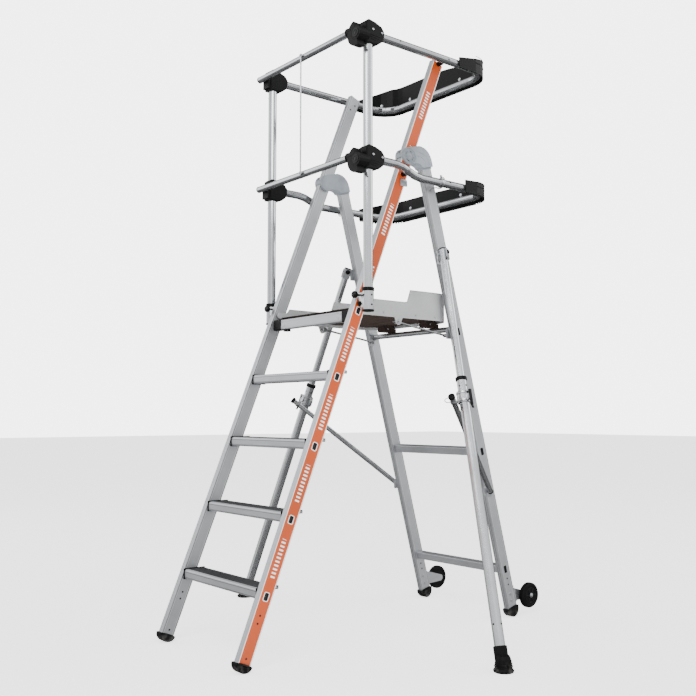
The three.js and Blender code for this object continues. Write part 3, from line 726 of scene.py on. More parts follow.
class PlatformHardware(bpy.types.PropertyGroup):
    """Sizes of the small parts"""
    rivet_radius: length("Rivet radius", "Head of a blind rivet, mm", 4.2)
    rivet_height: length("Rivet height", "Head of a blind rivet, mm", 1.6)
    bolt_radius: length("Bolt radius", "Corner radius of a hexagon head, mm", 7.0)
    window_border: length("Window rim", "Width of the rim round a stile window, mm", 1.9)
    cap_wrap: length("Tread cap wrap", "How far a tread's end cap stands proud, mm", 2.4)
    tyre_grooves: bpy.props.IntProperty(name="Tyre ribs", description="Ribs round a wheel", default=36, min=8)


class PlatformStage(bpy.types.PropertyGroup):
    """Camera and light"""
    camera_place: bpy.props.FloatVectorProperty(
        name="Camera", description="Where the camera stands", default=(2.6680, -2.2061, 0.7945),
        subtype="TRANSLATION",
    )
    camera_turn: bpy.props.FloatProperty(
        name="Turn", description="Compass turn of the camera", default=math.radians(51.10), subtype="ANGLE",
    )
    camera_rise: bpy.props.FloatProperty(
        name="Rise", description="How far the camera looks up", default=math.radians(4.304), subtype="ANGLE",
    )
    focal_length: bpy.props.FloatProperty(
        name="Focal length", description="Lens, mm", default=46.43, unit="CAMERA",
    )
    daylight: bpy.props.FloatProperty(
        name="Daylight", description="Strength of the surrounding light", default=1.25, min=0,
    )


class PlatformBuilder:
    """What every operator of this file shares"""
    bl_options = {"REGISTER", "UNDO"}

    def done(self):
        clear_selection()
        return {"FINISHED"}


# ---- finishes of the CAD nodes --------------------------------------------------------------------
class PLATFORM_OT_finishes(PlatformBuilder, bpy.types.Operator):
    """Makes the finishes and gives one to every CAD node"""
    bl_idname = "platform.finishes"
    bl_label = "Finishes"

    def execute(self, context):
        c = context.scene.platform_colours
        up_front = (tuple(FRONT_AXES.translation), (-FRONT_LEAN, 0, 0), (420, 420, 4))
        up_rear = (tuple(REAR_AXES.translation), (REAR_LEAN, 0, 0), (420, 420, 4))
        FINISHES.update({
            # Both stiles' finishes carry painted groove shade and painted bead highlights.
            "front stile": aluminium("bare stile", c.satin, 0.40, up_front, 0.4,
                                     middle=FRONT_OUTER - STILE_WIDTH / 2),
            "rear stile": aluminium("rear stile", c.satin, 0.40, up_rear, 0.4,
                                    middle=REAR_OUTER - STILE_WIDTH / 2),
            "plate": aluminium("plate", c.satin, 0.40, ((0, 0, 0), (0, 0, 0), (60, 60, 500)), 0.3),
            "tread": aluminium("drawn tread", c.satin, 0.38, ((0, 0, 0), (0, 0, 0), (5, 420, 420)), 0.4),
            "step": step_aluminium("ribbed tread", c.satin),
            "tube": aluminium("round tube", c.bright, 0.17, None, 0.1, 0.96),
            "upright": aluminium("upright tube", c.bright, 0.15, ((0, 0, 0), (0, 0, 0), (300, 300, 4)),
                                 0.3, 0.92),
            "sheet": aluminium("bent sheet", c.sheet, 0.46, ((0, 0, 0), (0, 0, 0), (60, 60, 500)), 0.2, 0.75),
            "paint": stile_paint("painted stile", c),
            "black": moulded("black plastic", c.black, 0.46),
            "gloss black": moulded("smooth black plastic", c.black, 0.34, 1400.0, 0.0002, 0.1),
            "grey": moulded("grey plastic", c.grey, 0.45, 1100.0, 0.0002, sheen=0.4),
            "rubber": rubber("black rubber", c.rubber),
            "grip": moulded("tread grip", c.grip, 0.5, 500.0, 0.0004),
            "ply": faced_ply("faced plywood", c.ply),
            "pale": moulded("pale plastic rim", c.mark, 0.4, 1200.0, 0.0002),
            # Painted shade for the insides of holes, slots and windows.
            "hole": painted_hole_shade("painted hole shade"),
            "steel": plated_steel("plated steel"),
        })
        for name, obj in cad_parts.items():
            finish = self.finish_of(name)
            obj.data.materials.clear()
            obj.data.materials.append(FINISHES[finish].material)
        return self.done()

    @staticmethod
    def finish_of(name):
        """The finish of a node, by the first part of its name that is listed."""
        rules = [
            ("front_stile_right", "paint"), ("front_stile", "front stile"), ("rear_stile", "rear stile"),
            ("step_", "step"), ("platform_front_beam", "tread"), ("rear_rung", "tread"),
            ("guard_post", "upright"), ("post_sleeve", "upright"), ("guard_joint", "black"),
            ("guard_rail", "tube"), ("rail_tray", "black"), ("elbow", "grey"), ("rear_cross_tube", "tube"),
            ("wheel_bracket", "plate"), ("leg_clevis", "plate"), ("platform_deck", "ply"),
            ("toe_board", "sheet"), ("lock_rod", "steel"), ("gate_hinge", "black"), ("gate_bar", "tube"),
            ("gate_link", "steel"), ("wheel", "rubber"), ("sleeve_knob", "gloss black"),
            ("leg_foot", "rubber"), ("leg_", "tube"), ("front_foot", "rubber"), ("rear_foot", "rubber"),
            ("beam_end_block", "black"),
        ]
        for start, finish in rules:
            if name.startswith(start):
                return finish
        raise RuntimeError("no finish is listed for node " + name)


# ---- front frame ------------------------------------------------------------------------------------
def window_levels():
    """How far up the stile each window's middle is."""
    return [z / math.cos(FRONT_LEAN) - WINDOW_BELOW_TREAD for z in [*TREAD_TOPS, BEAM_WINDOW_Z]]


class PLATFORM_OT_stile_windows(PlatformBuilder, bpy.types.Operator):
    """Rims of the windows in the front stiles' outer faces, and dark plates behind them painted as the shade
    inside
    """
    bl_idname = "platform.stile_windows"
    bl_label = "Stile windows"

    def execute(self, context):
        border = context.scene.platform_hardware.window_border
        levels = window_levels()
        rim = block((21.4, 29.4, 1.5), (0, 0, 0), 5.4, 2)
        hollow(rim, border + 0.4)
        soften(rim, 0.35, 2, 50)
        rims = stamped(rim, [self.spot(FRONT_OUTER + 0.25, z) for z in levels])
        pair(rims, "window_rims", "front_frame", "pale")
        # Dark plates set inside the windows: painted shade of the stile's hollow inside.
        back = block((18.5, 26.5, 1.2), (0, 0, 0), 4.5, 2, 0.3)
        choose(back, "FACE", looks(Z_AXIS))
        bpy.ops.mesh.inset(thickness=3 * MM, depth=0)
        push(z=-0.5 * MM)
        leave_edit()
        shade_backs = stamped(back, [self.spot(FRONT_OUTER - 3.4, z) for z in levels])
        pair(shade_backs, "window_backs", "front_frame", "hole")
        return self.done()

    @staticmethod
    def spot(x, z):
        return on_axes(FRONT_AXES, x, STILE_DEPTH / 2, z)


class PLATFORM_OT_tread_caps(PlatformBuilder, bpy.types.Operator):
    """Black caps round the ends of the treads and their grip ribs"""
    bl_idname = "platform.tread_caps"
    bl_label = "Tread caps"

    END = 235
    LIP = 7
    STRIP = 4.6
    STRIPS = 11
    FIRST_STRIP = 14

    def execute(self, context):
        wrap = context.scene.platform_hardware.cap_wrap
        body = self.shell(TREAD_BODY, TREAD_HEIGHT, wrap)
        lip = self.shell(TREAD_DEPTH, self.LIP, wrap)
        places = [Matrix.Translation(place(self.END, self.front(top), top)) for top in TREAD_TOPS]
        pair(stamped(merged([body, lip]), places), "tread_caps", "front_frame", "black")
        for index, top in enumerate(TREAD_TOPS):
            strip = block((458, self.STRIP, 0.9), (0, 0, 0), 0.4, 0)
            lines = []
            for i in range(self.STRIPS):
                y = self.front(top) + self.FIRST_STRIP + (self.STRIP + 1.2) * i
                lines.append(Matrix.Translation(place(0, y, top + 0.2)))
            finish_piece(stamped(strip, lines), f"tread_grip_{index + 1}", "front_frame", "grip")
        return self.done()

    @staticmethod
    def front(top):
        """Where a tread's front edge is, for the height of its top."""
        return top * math.tan(FRONT_LEAN)

    @staticmethod
    def shell(depth, height, wrap):
        """A thin plate round a part of the tread's end, from its front top corner back and down."""
        size = (5, depth + 2 * wrap, height + 2 * wrap)
        return block(size, (0, depth / 2, -height / 2), 2.5, 0, 0.6)


class PLATFORM_OT_stile_rivets(PlatformBuilder, bpy.types.Operator):
    """Rivets of the front stiles, dark discs painted as the shade in their holes, and bolts of the beam"""
    bl_idname = "platform.stile_rivets"
    bl_label = "Stile rivets"

    def execute(self, context):
        h = context.scene.platform_hardware
        middle = STILE_DEPTH / 2
        spots = [on_axes(FRONT_AXES, FRONT_OUTER, middle, z) for z in (1292, 1850)]
        heads = stamped(domed(h.rivet_radius, h.rivet_height, 0.7), spots)
        pair(heads, "stile_rivets", "front_frame", "steel")
        inner = FRONT_OUTER - STILE_WIDTH
        holes = [on_axes(FRONT_AXES, inner + 0.1, y, z, -X_AXIS) for y, z in ((19, 2268), (33, 2296))]
        holes += [on_axes(FRONT_AXES, inner + 0.1, middle, z, -X_AXIS) for z in (56, 167, 191)]
        holes += [on_axes(FRONT_AXES, FRONT_OUTER - 0.1, middle, z) for z in (58, 167, 192)]
        # Dark discs: painted shade standing in for holes.
        pits = stamped(disc(3.4, 0.7, 0, 16), holes)
        pair(pits, "stile_holes", "front_frame", "hole")
        faces = [facing(x, 480, z, (0, -1, 0)) for x in (-180, 180) for z in (1134, 1156)]
        faces += [facing(x, 480, 1140, (0, -1, 0)) for x in (-168, 168)]
        rivets = stamped(domed(3.2, 1.3, 0.5), faces)
        finish_piece(rivets, "beam_rivets", "front_frame", "steel")
        bumper = block((26, 22, 9), (0, 0, 0), 6, 2, 1.2)
        finish_piece(moved(bumper, Matrix.Translation(place(-170, 496, 1123))), "beam_bumper", "front_frame",
                     "black")
        lips = [Matrix.Translation(place(0, 480.2, z)) for z in (1133.5, 1157.5)]
        lip = block((379, 1.2, 2.4), (0, 0, 0), 0, 0, 0.5)
        finish_piece(stamped(lip, lips), "beam_lips", "front_frame", "tread")
        return self.done()


def bowl(axes, x, centre, reach):
    """A round-bottomed rubber foot on the end of a leaning stile: half an ellipse, deepest in its middle."""
    half = STILE_DEPTH / 2 + 5
    foot = disc(half, STILE_WIDTH + 7, -(STILE_WIDTH + 7) / 2, 56)
    foot = moved(foot, Matrix.Diagonal((1, 1, reach / half, 1)) @ Matrix.Rotation(math.pi / 2, 4, "Y"))
    choose(foot, "VERT", lambda vert: vert.co.z > MM)
    bpy.ops.transform.resize(value=(1, 1, 0.16), center_override=(0, 0, 0))
    leave_edit()
    choose(foot, "FACE", lambda face: abs(face.normal.x) > 0.99)
    bpy.ops.mesh.inset(thickness=5 * MM, depth=-1.2 * MM)
    leave_edit()
    soften(foot, 1.6, 3, 50)
    return moved(foot, axes @ Matrix.Translation(Vector((x, STILE_DEPTH / 2, centre)) * MM))


class PLATFORM_OT_feet(PlatformBuilder, bpy.types.Operator):
    """Round-bottomed feet of the four stiles and the ridges of the outriggers' pads"""
    bl_idname = "platform.feet"
    bl_label = "Feet"

    def execute(self, context):
        inset = STILE_WIDTH / 2
        front = bowl(FRONT_AXES, FRONT_OUTER - inset, 38.4, 24.5)
        pair(front, "front_bowl_foot", "front_frame", "rubber")
        rear = bowl(REAR_AXES, REAR_OUTER - inset, 30.2, 35.6)
        pair(rear, "rear_bowl_foot", "rear_frame", "rubber")
        for end in ("front", "rear"):
            for side in ("right", "left"):
                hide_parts(f"{end}_foot_{side}")
        pads = []
        for z, radius in ((5, 31.6), (18, 28.4), (26, 26.4), (34, 24.6)):
            clear_selection()
            bpy.ops.mesh.primitive_torus_add(
                major_radius=radius * MM, minor_radius=1.5 * MM, major_segments=40, minor_segments=8,
                location=place(LEG_FOOT.x, LEG_FOOT.y, z),
            )
            ring = settle(bpy.context.object)
            choose(ring, "FACE", lambda face: True)
            bpy.ops.transform.resize(value=(1, 1, 1.25), center_override=place(LEG_FOOT.x, LEG_FOOT.y, z))
            leave_edit()
            pads.append(ring)
        pair(merged(pads), "leg_foot_ridges", "leg_lower_{}", "rubber")
        return self.done()


# ---- guardrail ----------------------------------------------------------------------------------------
class PLATFORM_OT_posts(PlatformBuilder, bpy.types.Operator):
    """Collars, caps and screws of the guard posts, their sleeves and their knobs"""
    bl_idname = "platform.posts"
    bl_label = "Posts"

    def execute(self, context):
        h = context.scene.platform_hardware
        at_post = Matrix.Translation(place(POST_X, POST_Y, 0))
        collar = tube(21.6, 17.15, 13, 1226.4, 32, 0.9)
        cap = tube(21.0, 17.2, 6.5, 1155.2, 32, 0.9)
        plug = disc(17.4, 6, 1155.4, 28, 0.8)
        pair(moved(merged([collar, cap, plug]), at_post), "post_collars", "front_frame", "black")
        screws = [facing(POST_X + 19.6, POST_Y, z, (1, 0, 0)) for z in (1178, 1212)]
        screws += [facing(POST_X, POST_Y - 19.6, z, (0, -1, 0)) for z in (1212,)]
        pair(stamped(domed(3.4, 1.6, 0.9), screws), "sleeve_screws", "front_frame", "black")
        # Dark discs: painted shade standing in for holes in the posts.
        holes = [facing(POST_X + 12, POST_Y - 12, z, (1, -1, 0)) for z in (2082, 1627)]
        pits = stamped(disc(3.0, 0.5, 0, 16, 0.15), holes)
        pair(pits, "post_holes", "front_frame", "hole")
        nut = hex_bolt(h.bolt_radius, 6.0)
        pair(moved(nut, facing(272, POST_Y - 15, 1184, (0, -1, 0))), "sleeve_nuts", "front_frame",
             "black")
        ribs = []
        for i in range(14):
            a = 2 * math.pi * i / 14
            turn = Matrix.Rotation(a, 4, "Y")
            ribs.append(Matrix.Translation(place(272, 471, 1214)) @ turn @ Matrix.Translation((0, 0, 0.0119)))
        rib = block((2.2, 10.5, 1.6), (0, 0, 0), 0, 1, 0.5)
        grip = stamped(rib, ribs)
        face = moved(tube(8.2, 6.4, 1.2, 0, 20, 0.3), facing(272, 463.6, 1214, (0, -1, 0)))
        pair(merged([grip, face]), "knob_ribs", "knob_body_{}", "gloss black")
        return self.done()


class PLATFORM_OT_joints(PlatformBuilder, bpy.types.Operator):
    """Rivets, caps and ribs of the black guardrail joints"""
    bl_idname = "platform.joints"
    bl_label = "Guardrail joints"

    def execute(self, context):
        spots, ribs = [], []
        for z in (UPPER_RAIL_Z, LOWER_RAIL_Z):
            spots += [facing(POST_X + 22, POST_Y + dy, z + dz, (1, 0, 0)) for dy, dz in ((7, 8), (49, 4))]
            for dz, start, end in ((-13, -10, 42), (-21, -8, 34), (-29, -4, 24)):
                middle = place(POST_X + 22, POST_Y + (start + end) / 2, z + dz)
                ribs.append(Matrix.Translation(middle) @ Matrix.Diagonal((1, end - start, 1, 1)))
        pair(stamped(domed(4.6, 2.0, 0.6, 18), spots), "joint_rivets", "front_frame", "steel")
        rib = block((2.4, 1.0, 2.2), (0, 0, 0))
        soft_ribs = soften(stamped(rib, ribs), 0.5, 2)
        pair(soft_ribs, "joint_ribs", "front_frame", "black")
        caps = [facing(GATE_X, 446, z - GATE_BELOW_RAIL, (0, -1, 0)) for z in (UPPER_RAIL_Z, LOWER_RAIL_Z)]
        cap = tube(16, 9.5, 1.8, 0, 28, 0.5)
        hub = disc(8.6, 1.2, 0, 24, 0.4)
        bosses = stamped(merged([cap, hub]), caps)
        finish_piece(bosses, "joint_boss_caps", "front_frame", "gloss black")
        return self.done()


class PLATFORM_OT_gate(PlatformBuilder, bpy.types.Operator):
    """Round end caps, hinge collars and link pins of the lifting gate"""
    bl_idname = "platform.gate"
    bl_label = "Gate"

    def execute(self, context):
        for level, z in (("upper", UPPER_RAIL_Z), ("lower", LOWER_RAIL_Z)):
            body = "gate_" + level
            end = disc(12.9, 7.0, -2, 28)
            choose(end, "FACE", looks(Z_AXIS))
            bpy.ops.mesh.bevel(offset=3.2 * MM, segments=4, affect="EDGES")
            leave_edit()
            finish_piece(moved(end, facing(-322, 462, z, (-1, 0, 0))), body + "_end_cap", body,
                         "black")
            collar = moved(tube(18.2, 12.7, 5, 0, 28, 0.7), facing(254, 462, z, (-1, 0, 0)))
            finish_piece(collar, body + "_collar", body, "black")
            pin = merged([disc(4.4, 9, -2, 16, 0.5), disc(6.2, 1.2, 5.4, 18, 0.3)])
            finish_piece(moved(pin, facing(-15, 448.5, z, (0, -1, 0))), body + "_link_pin", body,
                         "steel")
        return self.done()


class PLATFORM_OT_rails(PlatformBuilder, bpy.types.Operator):
    """Bolts, spacers, clips, and dark discs painted as hole shade, where the guardrail meets the stiles"""
    bl_idname = "platform.rails"
    bl_label = "Rail fixings"

    def execute(self, context):
        places = ((895, UPPER_RAIL_Z - 6), (708, 1682))
        spacers = [facing(FRONT_OUTER + 0.4, y, z, (1, 0, 0)) for y, z in places]
        bush = tube(9.5, 4, 22.4, 0, 24, 0.8)
        pair(stamped(bush, spacers), "rail_spacers", "front_frame", "black")
        bolts = [facing(POST_X + 14, y, z, (1, 0, 0)) for y, z in ((905, UPPER_RAIL_Z + 2), (697, 1686))]
        pair(stamped(domed(6.5, 3.4, 0.0, 20), bolts), "rail_bolts", "front_frame", "steel")
        # Dark discs: painted shade standing in for holes in the rail.
        marks = [facing(POST_X + 14.2, 655, UPPER_RAIL_Z + 5, (1, 0, 0.35))]
        marks += [facing(POST_X + 14.2, 905, LOWER_RAIL_DIP_Z + 5, (1, 0, 0.35))]
        pair(stamped(disc(3.0, 0.9, 0, 16, 0.2), marks), "rail_holes", "front_frame", "hole")
        bracket = block((3, 34, 26), (0, 0, 0), 5, 0, 0.6)
        pair(moved(bracket, Matrix.Translation(place(FRONT_OUTER + 2, 712, 1650))), "rail_brackets",
             "front_frame", "tread")
        self.clip()
        self.tray_screws()
        return self.done()

    @staticmethod
    def clip():
        """A split ring round the lower rail with a wire hook that catches the rear stile."""
        y, z = 868, LOWER_RAIL_DIP_Z
        ring = tube(18.6, 15.3, 9, 0, 32, 0.9)
        ring = moved(ring, facing(POST_X, y - 4.5, z, (0, 1, 0)))
        lug = block((6, 8, 16), (0, 0, 0), 2.5, 1, 0.8)
        lug = moved(lug, Matrix.Translation(place(POST_X + 2, y, z + 22)))
        pair(merged([ring, lug]), "rail_clips", "front_frame", "steel")
        points = []
        for i in range(25):
            a = math.radians(75 - 210 * i / 24)
            points.append(place(POST_X + 22 * math.cos(a), y + 3 - 10 * i / 24, z + 22 * math.sin(a)))
        tail = [place(POST_X - 26, y - 14, z - 16), place(POST_X - 32, y - 22, z - 20)]
        pair(wire(points + tail, 1.9), "rail_hooks", "front_frame", "steel")

    @staticmethod
    def tray_screws():
        """Screws with washers that hold each tray to its rail."""
        for level, z in (("upper", UPPER_RAIL_Z), ("lower", LOWER_RAIL_DIP_Z)):
            places = []
            for x, y, nx, ny in ((313, 1020, 1, 0), (150, 1130, 0, 1), (292, 1092, 0.85, 0.5)):
                inner = place(x, y, z + 24) if nx < 1 else place(x + 1, y, z + 12)
                direction = Vector((-nx, -ny, 0)).to_track_quat("Z", "Y").to_matrix().to_4x4()
                places.append(Matrix.Translation(inner + Vector((nx, ny, 0)) * 0.0005) @ direction)
            screws = stamped(merged([domed(4.6, 2.2, 0.8, 18), disc(6.6, 0.9, -0.4, 20, 0.2)]), places)
            pair(screws, f"tray_screws_{level}", "front_frame", "steel")


class PLATFORM_OT_trays(PlatformBuilder, bpy.types.Operator):
    """Rolled rims of both trays and the corrugated skirt of the lower one"""
    bl_idname = "platform.trays"
    bl_label = "Tray rims"

    UPPER = {"start": 955, "side": 18, "corner": 50, "crown": 100}
    LOWER = {"start": 982, "side": 26, "corner": 33, "crown": 68}
    RAIL_GAP = 16.5
    WALL = 4.5
    BELOW = 20

    def execute(self, context):
        for name, shape, z in (("upper", self.UPPER, UPPER_RAIL_Z), ("lower", self.LOWER, LOWER_RAIL_DIP_Z)):
            line = u_line(shape["start"] + 0.5, self.RAIL_GAP + self.WALL / 2)
            top = [place(x, y, z + self.top(shape, x, y) - 0.6) for x, y, _, _ in line]
            foot = [place(x, y, z - self.BELOW + 0.8) for x, y, _, _ in line]
            rims = merged([wire(top, 2.8), wire(foot, 2.6)])
            finish_piece(rims, f"tray_rims_{name}", "front_frame", "gloss black", 60)
        self.skirt()
        self.panel_ribs()
        return self.done()

    def top(self, shape, x, y):
        along = min(max((y - shape["start"]) / (RAIL_BACK_Y - shape["start"]), 0), 1)
        if x < 0:
            return shape["side"] + (shape["crown"] - shape["side"]) * along
        side = shape["side"] + (shape["corner"] - shape["side"]) * along
        crown = max(0, 1 - abs(x) / (POST_X - 20))
        return side + (shape["crown"] - shape["corner"]) * math.sin(crown * math.pi / 2)

    def skirt(self):
        """Short upright ribs along the lower tray's bottom edge, outside and inside."""
        rib = block((5.2, 5.4, 15), (0, 0, 0), 0, 2, 1.4)
        line = u_line(self.LOWER["start"] + 6, self.RAIL_GAP + self.WALL / 2, 12, 50, 6)
        places = []
        for x, y, nx, ny in line:
            turn = Matrix.Rotation(math.atan2(ny, nx), 4, "Z")
            places.append(Matrix.Translation(place(x, y, LOWER_RAIL_DIP_Z - 19)) @ turn)
        ribs = stamped(rib, places)
        finish_piece(ribs, "tray_skirt", "front_frame", "black", 50)

    def panel_ribs(self):
        """Two long raised lines on the outside of each tray's back."""
        lines = []
        for z, low, high in ((UPPER_RAIL_Z, 20, 45), (LOWER_RAIL_DIP_Z, 12, 30)):
            for rise in (low, high):
                line = u_line(1052, self.RAIL_GAP + self.WALL + 0.1)
                lines.append(wire([place(x, y, z + rise) for x, y, _, _ in line], 1.3, False, 2))
        finish_piece(merged(lines), "tray_lines", "front_frame", "black", 60)


# ---- elbows and rear frame ----------------------------------------------------------------------------
class PLATFORM_OT_elbows(PlatformBuilder, bpy.types.Operator):
    """Ribbed discs, rivets and ridges of the grey folding elbows"""
    bl_idname = "platform.elbows"
    bl_label = "Elbows"

    PIVOT = (736, 1754)
    OUTER = 270
    HEAD = 33

    def execute(self, context):
        py, pz = self.PIVOT
        hub = facing(self.OUTER - 0.2, py, pz, (1, 0, 0))
        rim = moved(tube(self.HEAD - 0.6, self.HEAD - 4.2, 2.4, 0, 48, 0.6), hub)
        inner = moved(tube(17.5, 15.0, 1.8, 0, 32, 0.5), hub)
        spokes = []
        for i in range(12):
            spin = Matrix.Rotation(2 * math.pi * i / 12, 4, "Z")
            spokes.append(hub @ spin @ Matrix.Translation((0.0232, 0, 0.0008)))
        spoke = block((12.5, 1.8, 1.7), (0, 0, 0), 0, 2, 0.4)
        pair(merged([rim, inner, stamped(spoke, spokes)]), "elbow_discs", "rear_frame", "grey")
        plate = merged([disc(12.2, 1.6, 0, 32, 0.5), domed(6.2, 2.6, 0.8, 24)])
        pair(moved(plate, hub), "elbow_hubs", "rear_frame", "grey")
        # Dark slots on the elbow disc: painted shade standing in for recesses.
        slot = block((13, 3.2, 0.8), (0, 0, 0), 1.2, 2, 0.2)
        slots = []
        for y, z in ((-14, 9), (8, 17), (16, -8), (-6, -17)):
            spin = Matrix.Rotation(math.atan2(z, y) + math.pi / 2, 4, "Z")
            slots.append(hub @ Matrix.Translation(Vector((y, z, 0.4)) * MM) @ spin)
        pair(stamped(slot, slots), "elbow_slots", "rear_frame", "hole")
        spline = []
        for y, z in ((772, 1779), (800, 1777), (822, 1766), (836, 1748), (840, 1730)):
            spline.append(place(self.OUTER - 0.1, y, z))
        second = []
        for y, z in ((772, 1762), (796, 1762), (812, 1752), (820, 1738), (822, 1722)):
            second.append(place(self.OUTER - 0.1, y, z))
        ridges = merged([wire(self.smooth(spline), 1.5), wire(self.smooth(second), 1.3)])
        pair(ridges, "elbow_ridges", "rear_frame", "grey", 60)
        socket = block((29, 56, 5), (0, 0, 0), 4, 2)
        hollow(socket, 2.2)
        soften(socket, 0.7, 2, 50)
        middle = Vector((REAR_OUTER - STILE_WIDTH / 2, STILE_DEPTH / 2, 1781)) * MM
        place_at = REAR_AXES @ Matrix.Translation(middle)
        pair(moved(socket, place_at), "elbow_sockets", "rear_frame", "grey")
        return self.done()

    @staticmethod
    def smooth(points, steps=5):
        """Points of a smooth line through the given ones."""
        ends = [points[0], *points, points[-1]]
        line = []
        for a, b, c, d in zip(ends, ends[1:], ends[2:], ends[3:]):
            for i in range(steps):
                t = i / steps
                line.append(0.5 * (2 * b + (c - a) * t + (2 * a - 5 * b + 4 * c - d) * t * t
                                   + (3 * b - a - 3 * c + d) * t * t * t))
        return line + [points[-1]]


class PLATFORM_OT_rear_frame(PlatformBuilder, bpy.types.Operator):
    """Rung plates, rivets and cross tube flanges of the rear frame"""
    bl_idname = "platform.rear_frame"
    bl_label = "Rear frame"

    def execute(self, context):
        h = context.scene.platform_hardware
        middle = STILE_DEPTH / 2
        plate = block((14, 29, 1.1), (0, 0, 0), 3.5, 2, 0.4)
        choose(plate, "FACE", looks(Z_AXIS))
        bpy.ops.mesh.inset(thickness=1.8 * MM, depth=0)
        push(z=-0.6 * MM)
        leave_edit()
        heights = (*RUNG_LEVELS, 1150)
        slots = stamped(plate, [on_axes(REAR_AXES, REAR_OUTER + 0.3, middle, z) for z in heights])
        pair(slots, "rung_plates", "rear_frame", "black")
        inner = REAR_OUTER - STILE_WIDTH
        # Dark discs: painted shade standing in for holes in the rear stiles.
        holes = [on_axes(REAR_AXES, REAR_OUTER - 0.1, middle, z) for z in (127, 152)]
        holes += [on_axes(REAR_AXES, inner + 0.1, middle, z, -X_AXIS) for z in (125, 149)]
        pair(stamped(disc(3.2, 0.7, 0, 16), holes), "rear_holes", "rear_frame", "hole")
        spots = [on_axes(REAR_AXES, REAR_OUTER, middle, z) for z in (61, 88, 1700, 1752)]
        spots += [on_axes(REAR_AXES, inner, middle, z, -X_AXIS) for z in (61, 91)]
        pair(stamped(domed(h.rivet_radius + 1.2, h.rivet_height, 0.7), spots), "rear_rivets", "rear_frame",
             "steel")
        side = REAR_OUTER - STILE_WIDTH
        flange = merged([tube(20, 11.2, 3.4, 0.6, 32, 0.7), tube(14.5, 11.2, 13, 1, 28, 0.8)])
        pair(moved(flange, facing(side, 990, 1127, (-1, 0, 0))), "cross_tube_flanges", "rear_frame",
             "steel")
        bolts = [facing(side - 4.2, 990 + dy, 1127 + dz, (-1, 0, 0)) for dy, dz in ((13, 9), (-13, -9))]
        pair(stamped(domed(2.6, 1.4, 0.5), bolts), "flange_rivets", "rear_frame", "steel")
        hanger = block((3, 30, 42), (0, 0, 0), 7, 0, 0.6)
        pair(moved(hanger, Matrix.Translation(place(side - 7, 976, 1110))), "rod_hangers", "rear_frame",
             "plate")
        collars = []
        for level in RUNG_LEVELS:
            ring = block((2.4, RUNG_DEPTH + 8, RUNG_HEIGHT + 8), (0, 0, 0), 4, 0)
            hollow(ring, 4.0, 0)
            soften(ring, 0.6, 2, 50)
            at = Vector((side - 1.6, 25.5, level)) * MM
            collars.append(moved(ring, REAR_AXES @ Matrix.Translation(at)))
        pair(merged(collars), "rung_collars", "rear_frame", "plate")
        return self.done()


class PLATFORM_OT_wheels(PlatformBuilder, bpy.types.Operator):
    """Tread ribs, hub and axle cap of the rear wheels"""
    bl_idname = "platform.wheels"
    bl_label = "Wheels"

    HUB = (262.5, 1384, 75)

    def execute(self, context):
        count = context.scene.platform_hardware.tyre_grooves
        x, y, z = self.HUB
        axle = facing(x, y, z, (1, 0, 0))
        ribs = []
        for i in range(count):
            spin = Matrix.Rotation(2 * math.pi * i / count, 4, "Z")
            ribs.append(axle @ spin @ Matrix.Translation((0.0487, 0, 0)))
        rib = block((1.4, 3.6, 14), (0, 0, 0), 0, 2, 0.4)
        tyre = stamped(rib, ribs)
        walls = [moved(tube(41, 38.6, 1.2, side, 48, 0.4), axle) for side in (12.1, -13.3)]
        pair(merged([tyre, *walls]), "tyre_ribs", "wheel_body_{}", "rubber")
        rim = tube(31, 27.5, 1.8, 9.2, 40, 0.5)
        spokes = []
        for i in range(6):
            spin = Matrix.Rotation(2 * math.pi * i / 6, 4, "Z")
            spokes.append(spin @ Matrix.Translation((0.0195, 0, 0.0105)))
        spoke = block((19, 5.0, 2.4), (0, 0, 0), 0, 2, 0.7)
        hub = merged([rim, stamped(spoke, spokes), tube(11.5, 6.6, 3.6, 9.0, 28, 0.6)])
        pair(moved(hub, axle), "wheel_hubs", "wheel_body_{}", "gloss black")
        cap = merged([disc(9.2, 1.4, 13.0, 24, 0.4), domed_at(6.4, 3.2, 14.2)])
        pair(moved(cap, axle), "axle_caps", "rear_frame", "steel")
        bolts = [on_axes(REAR_AXES, 250, STILE_DEPTH + 6.2, zz, Y_AXIS) for zz in (68, 106)]
        pair(stamped(domed(3.6, 1.6, 0.6), bolts), "wheel_bracket_bolts", "rear_frame", "steel")
        return self.done()


def domed_at(radius, height, level):
    """A domed head whose foot is at a level."""
    return moved(domed(radius, height, 0.6, 20), Matrix.Translation((0, 0, level * MM)))


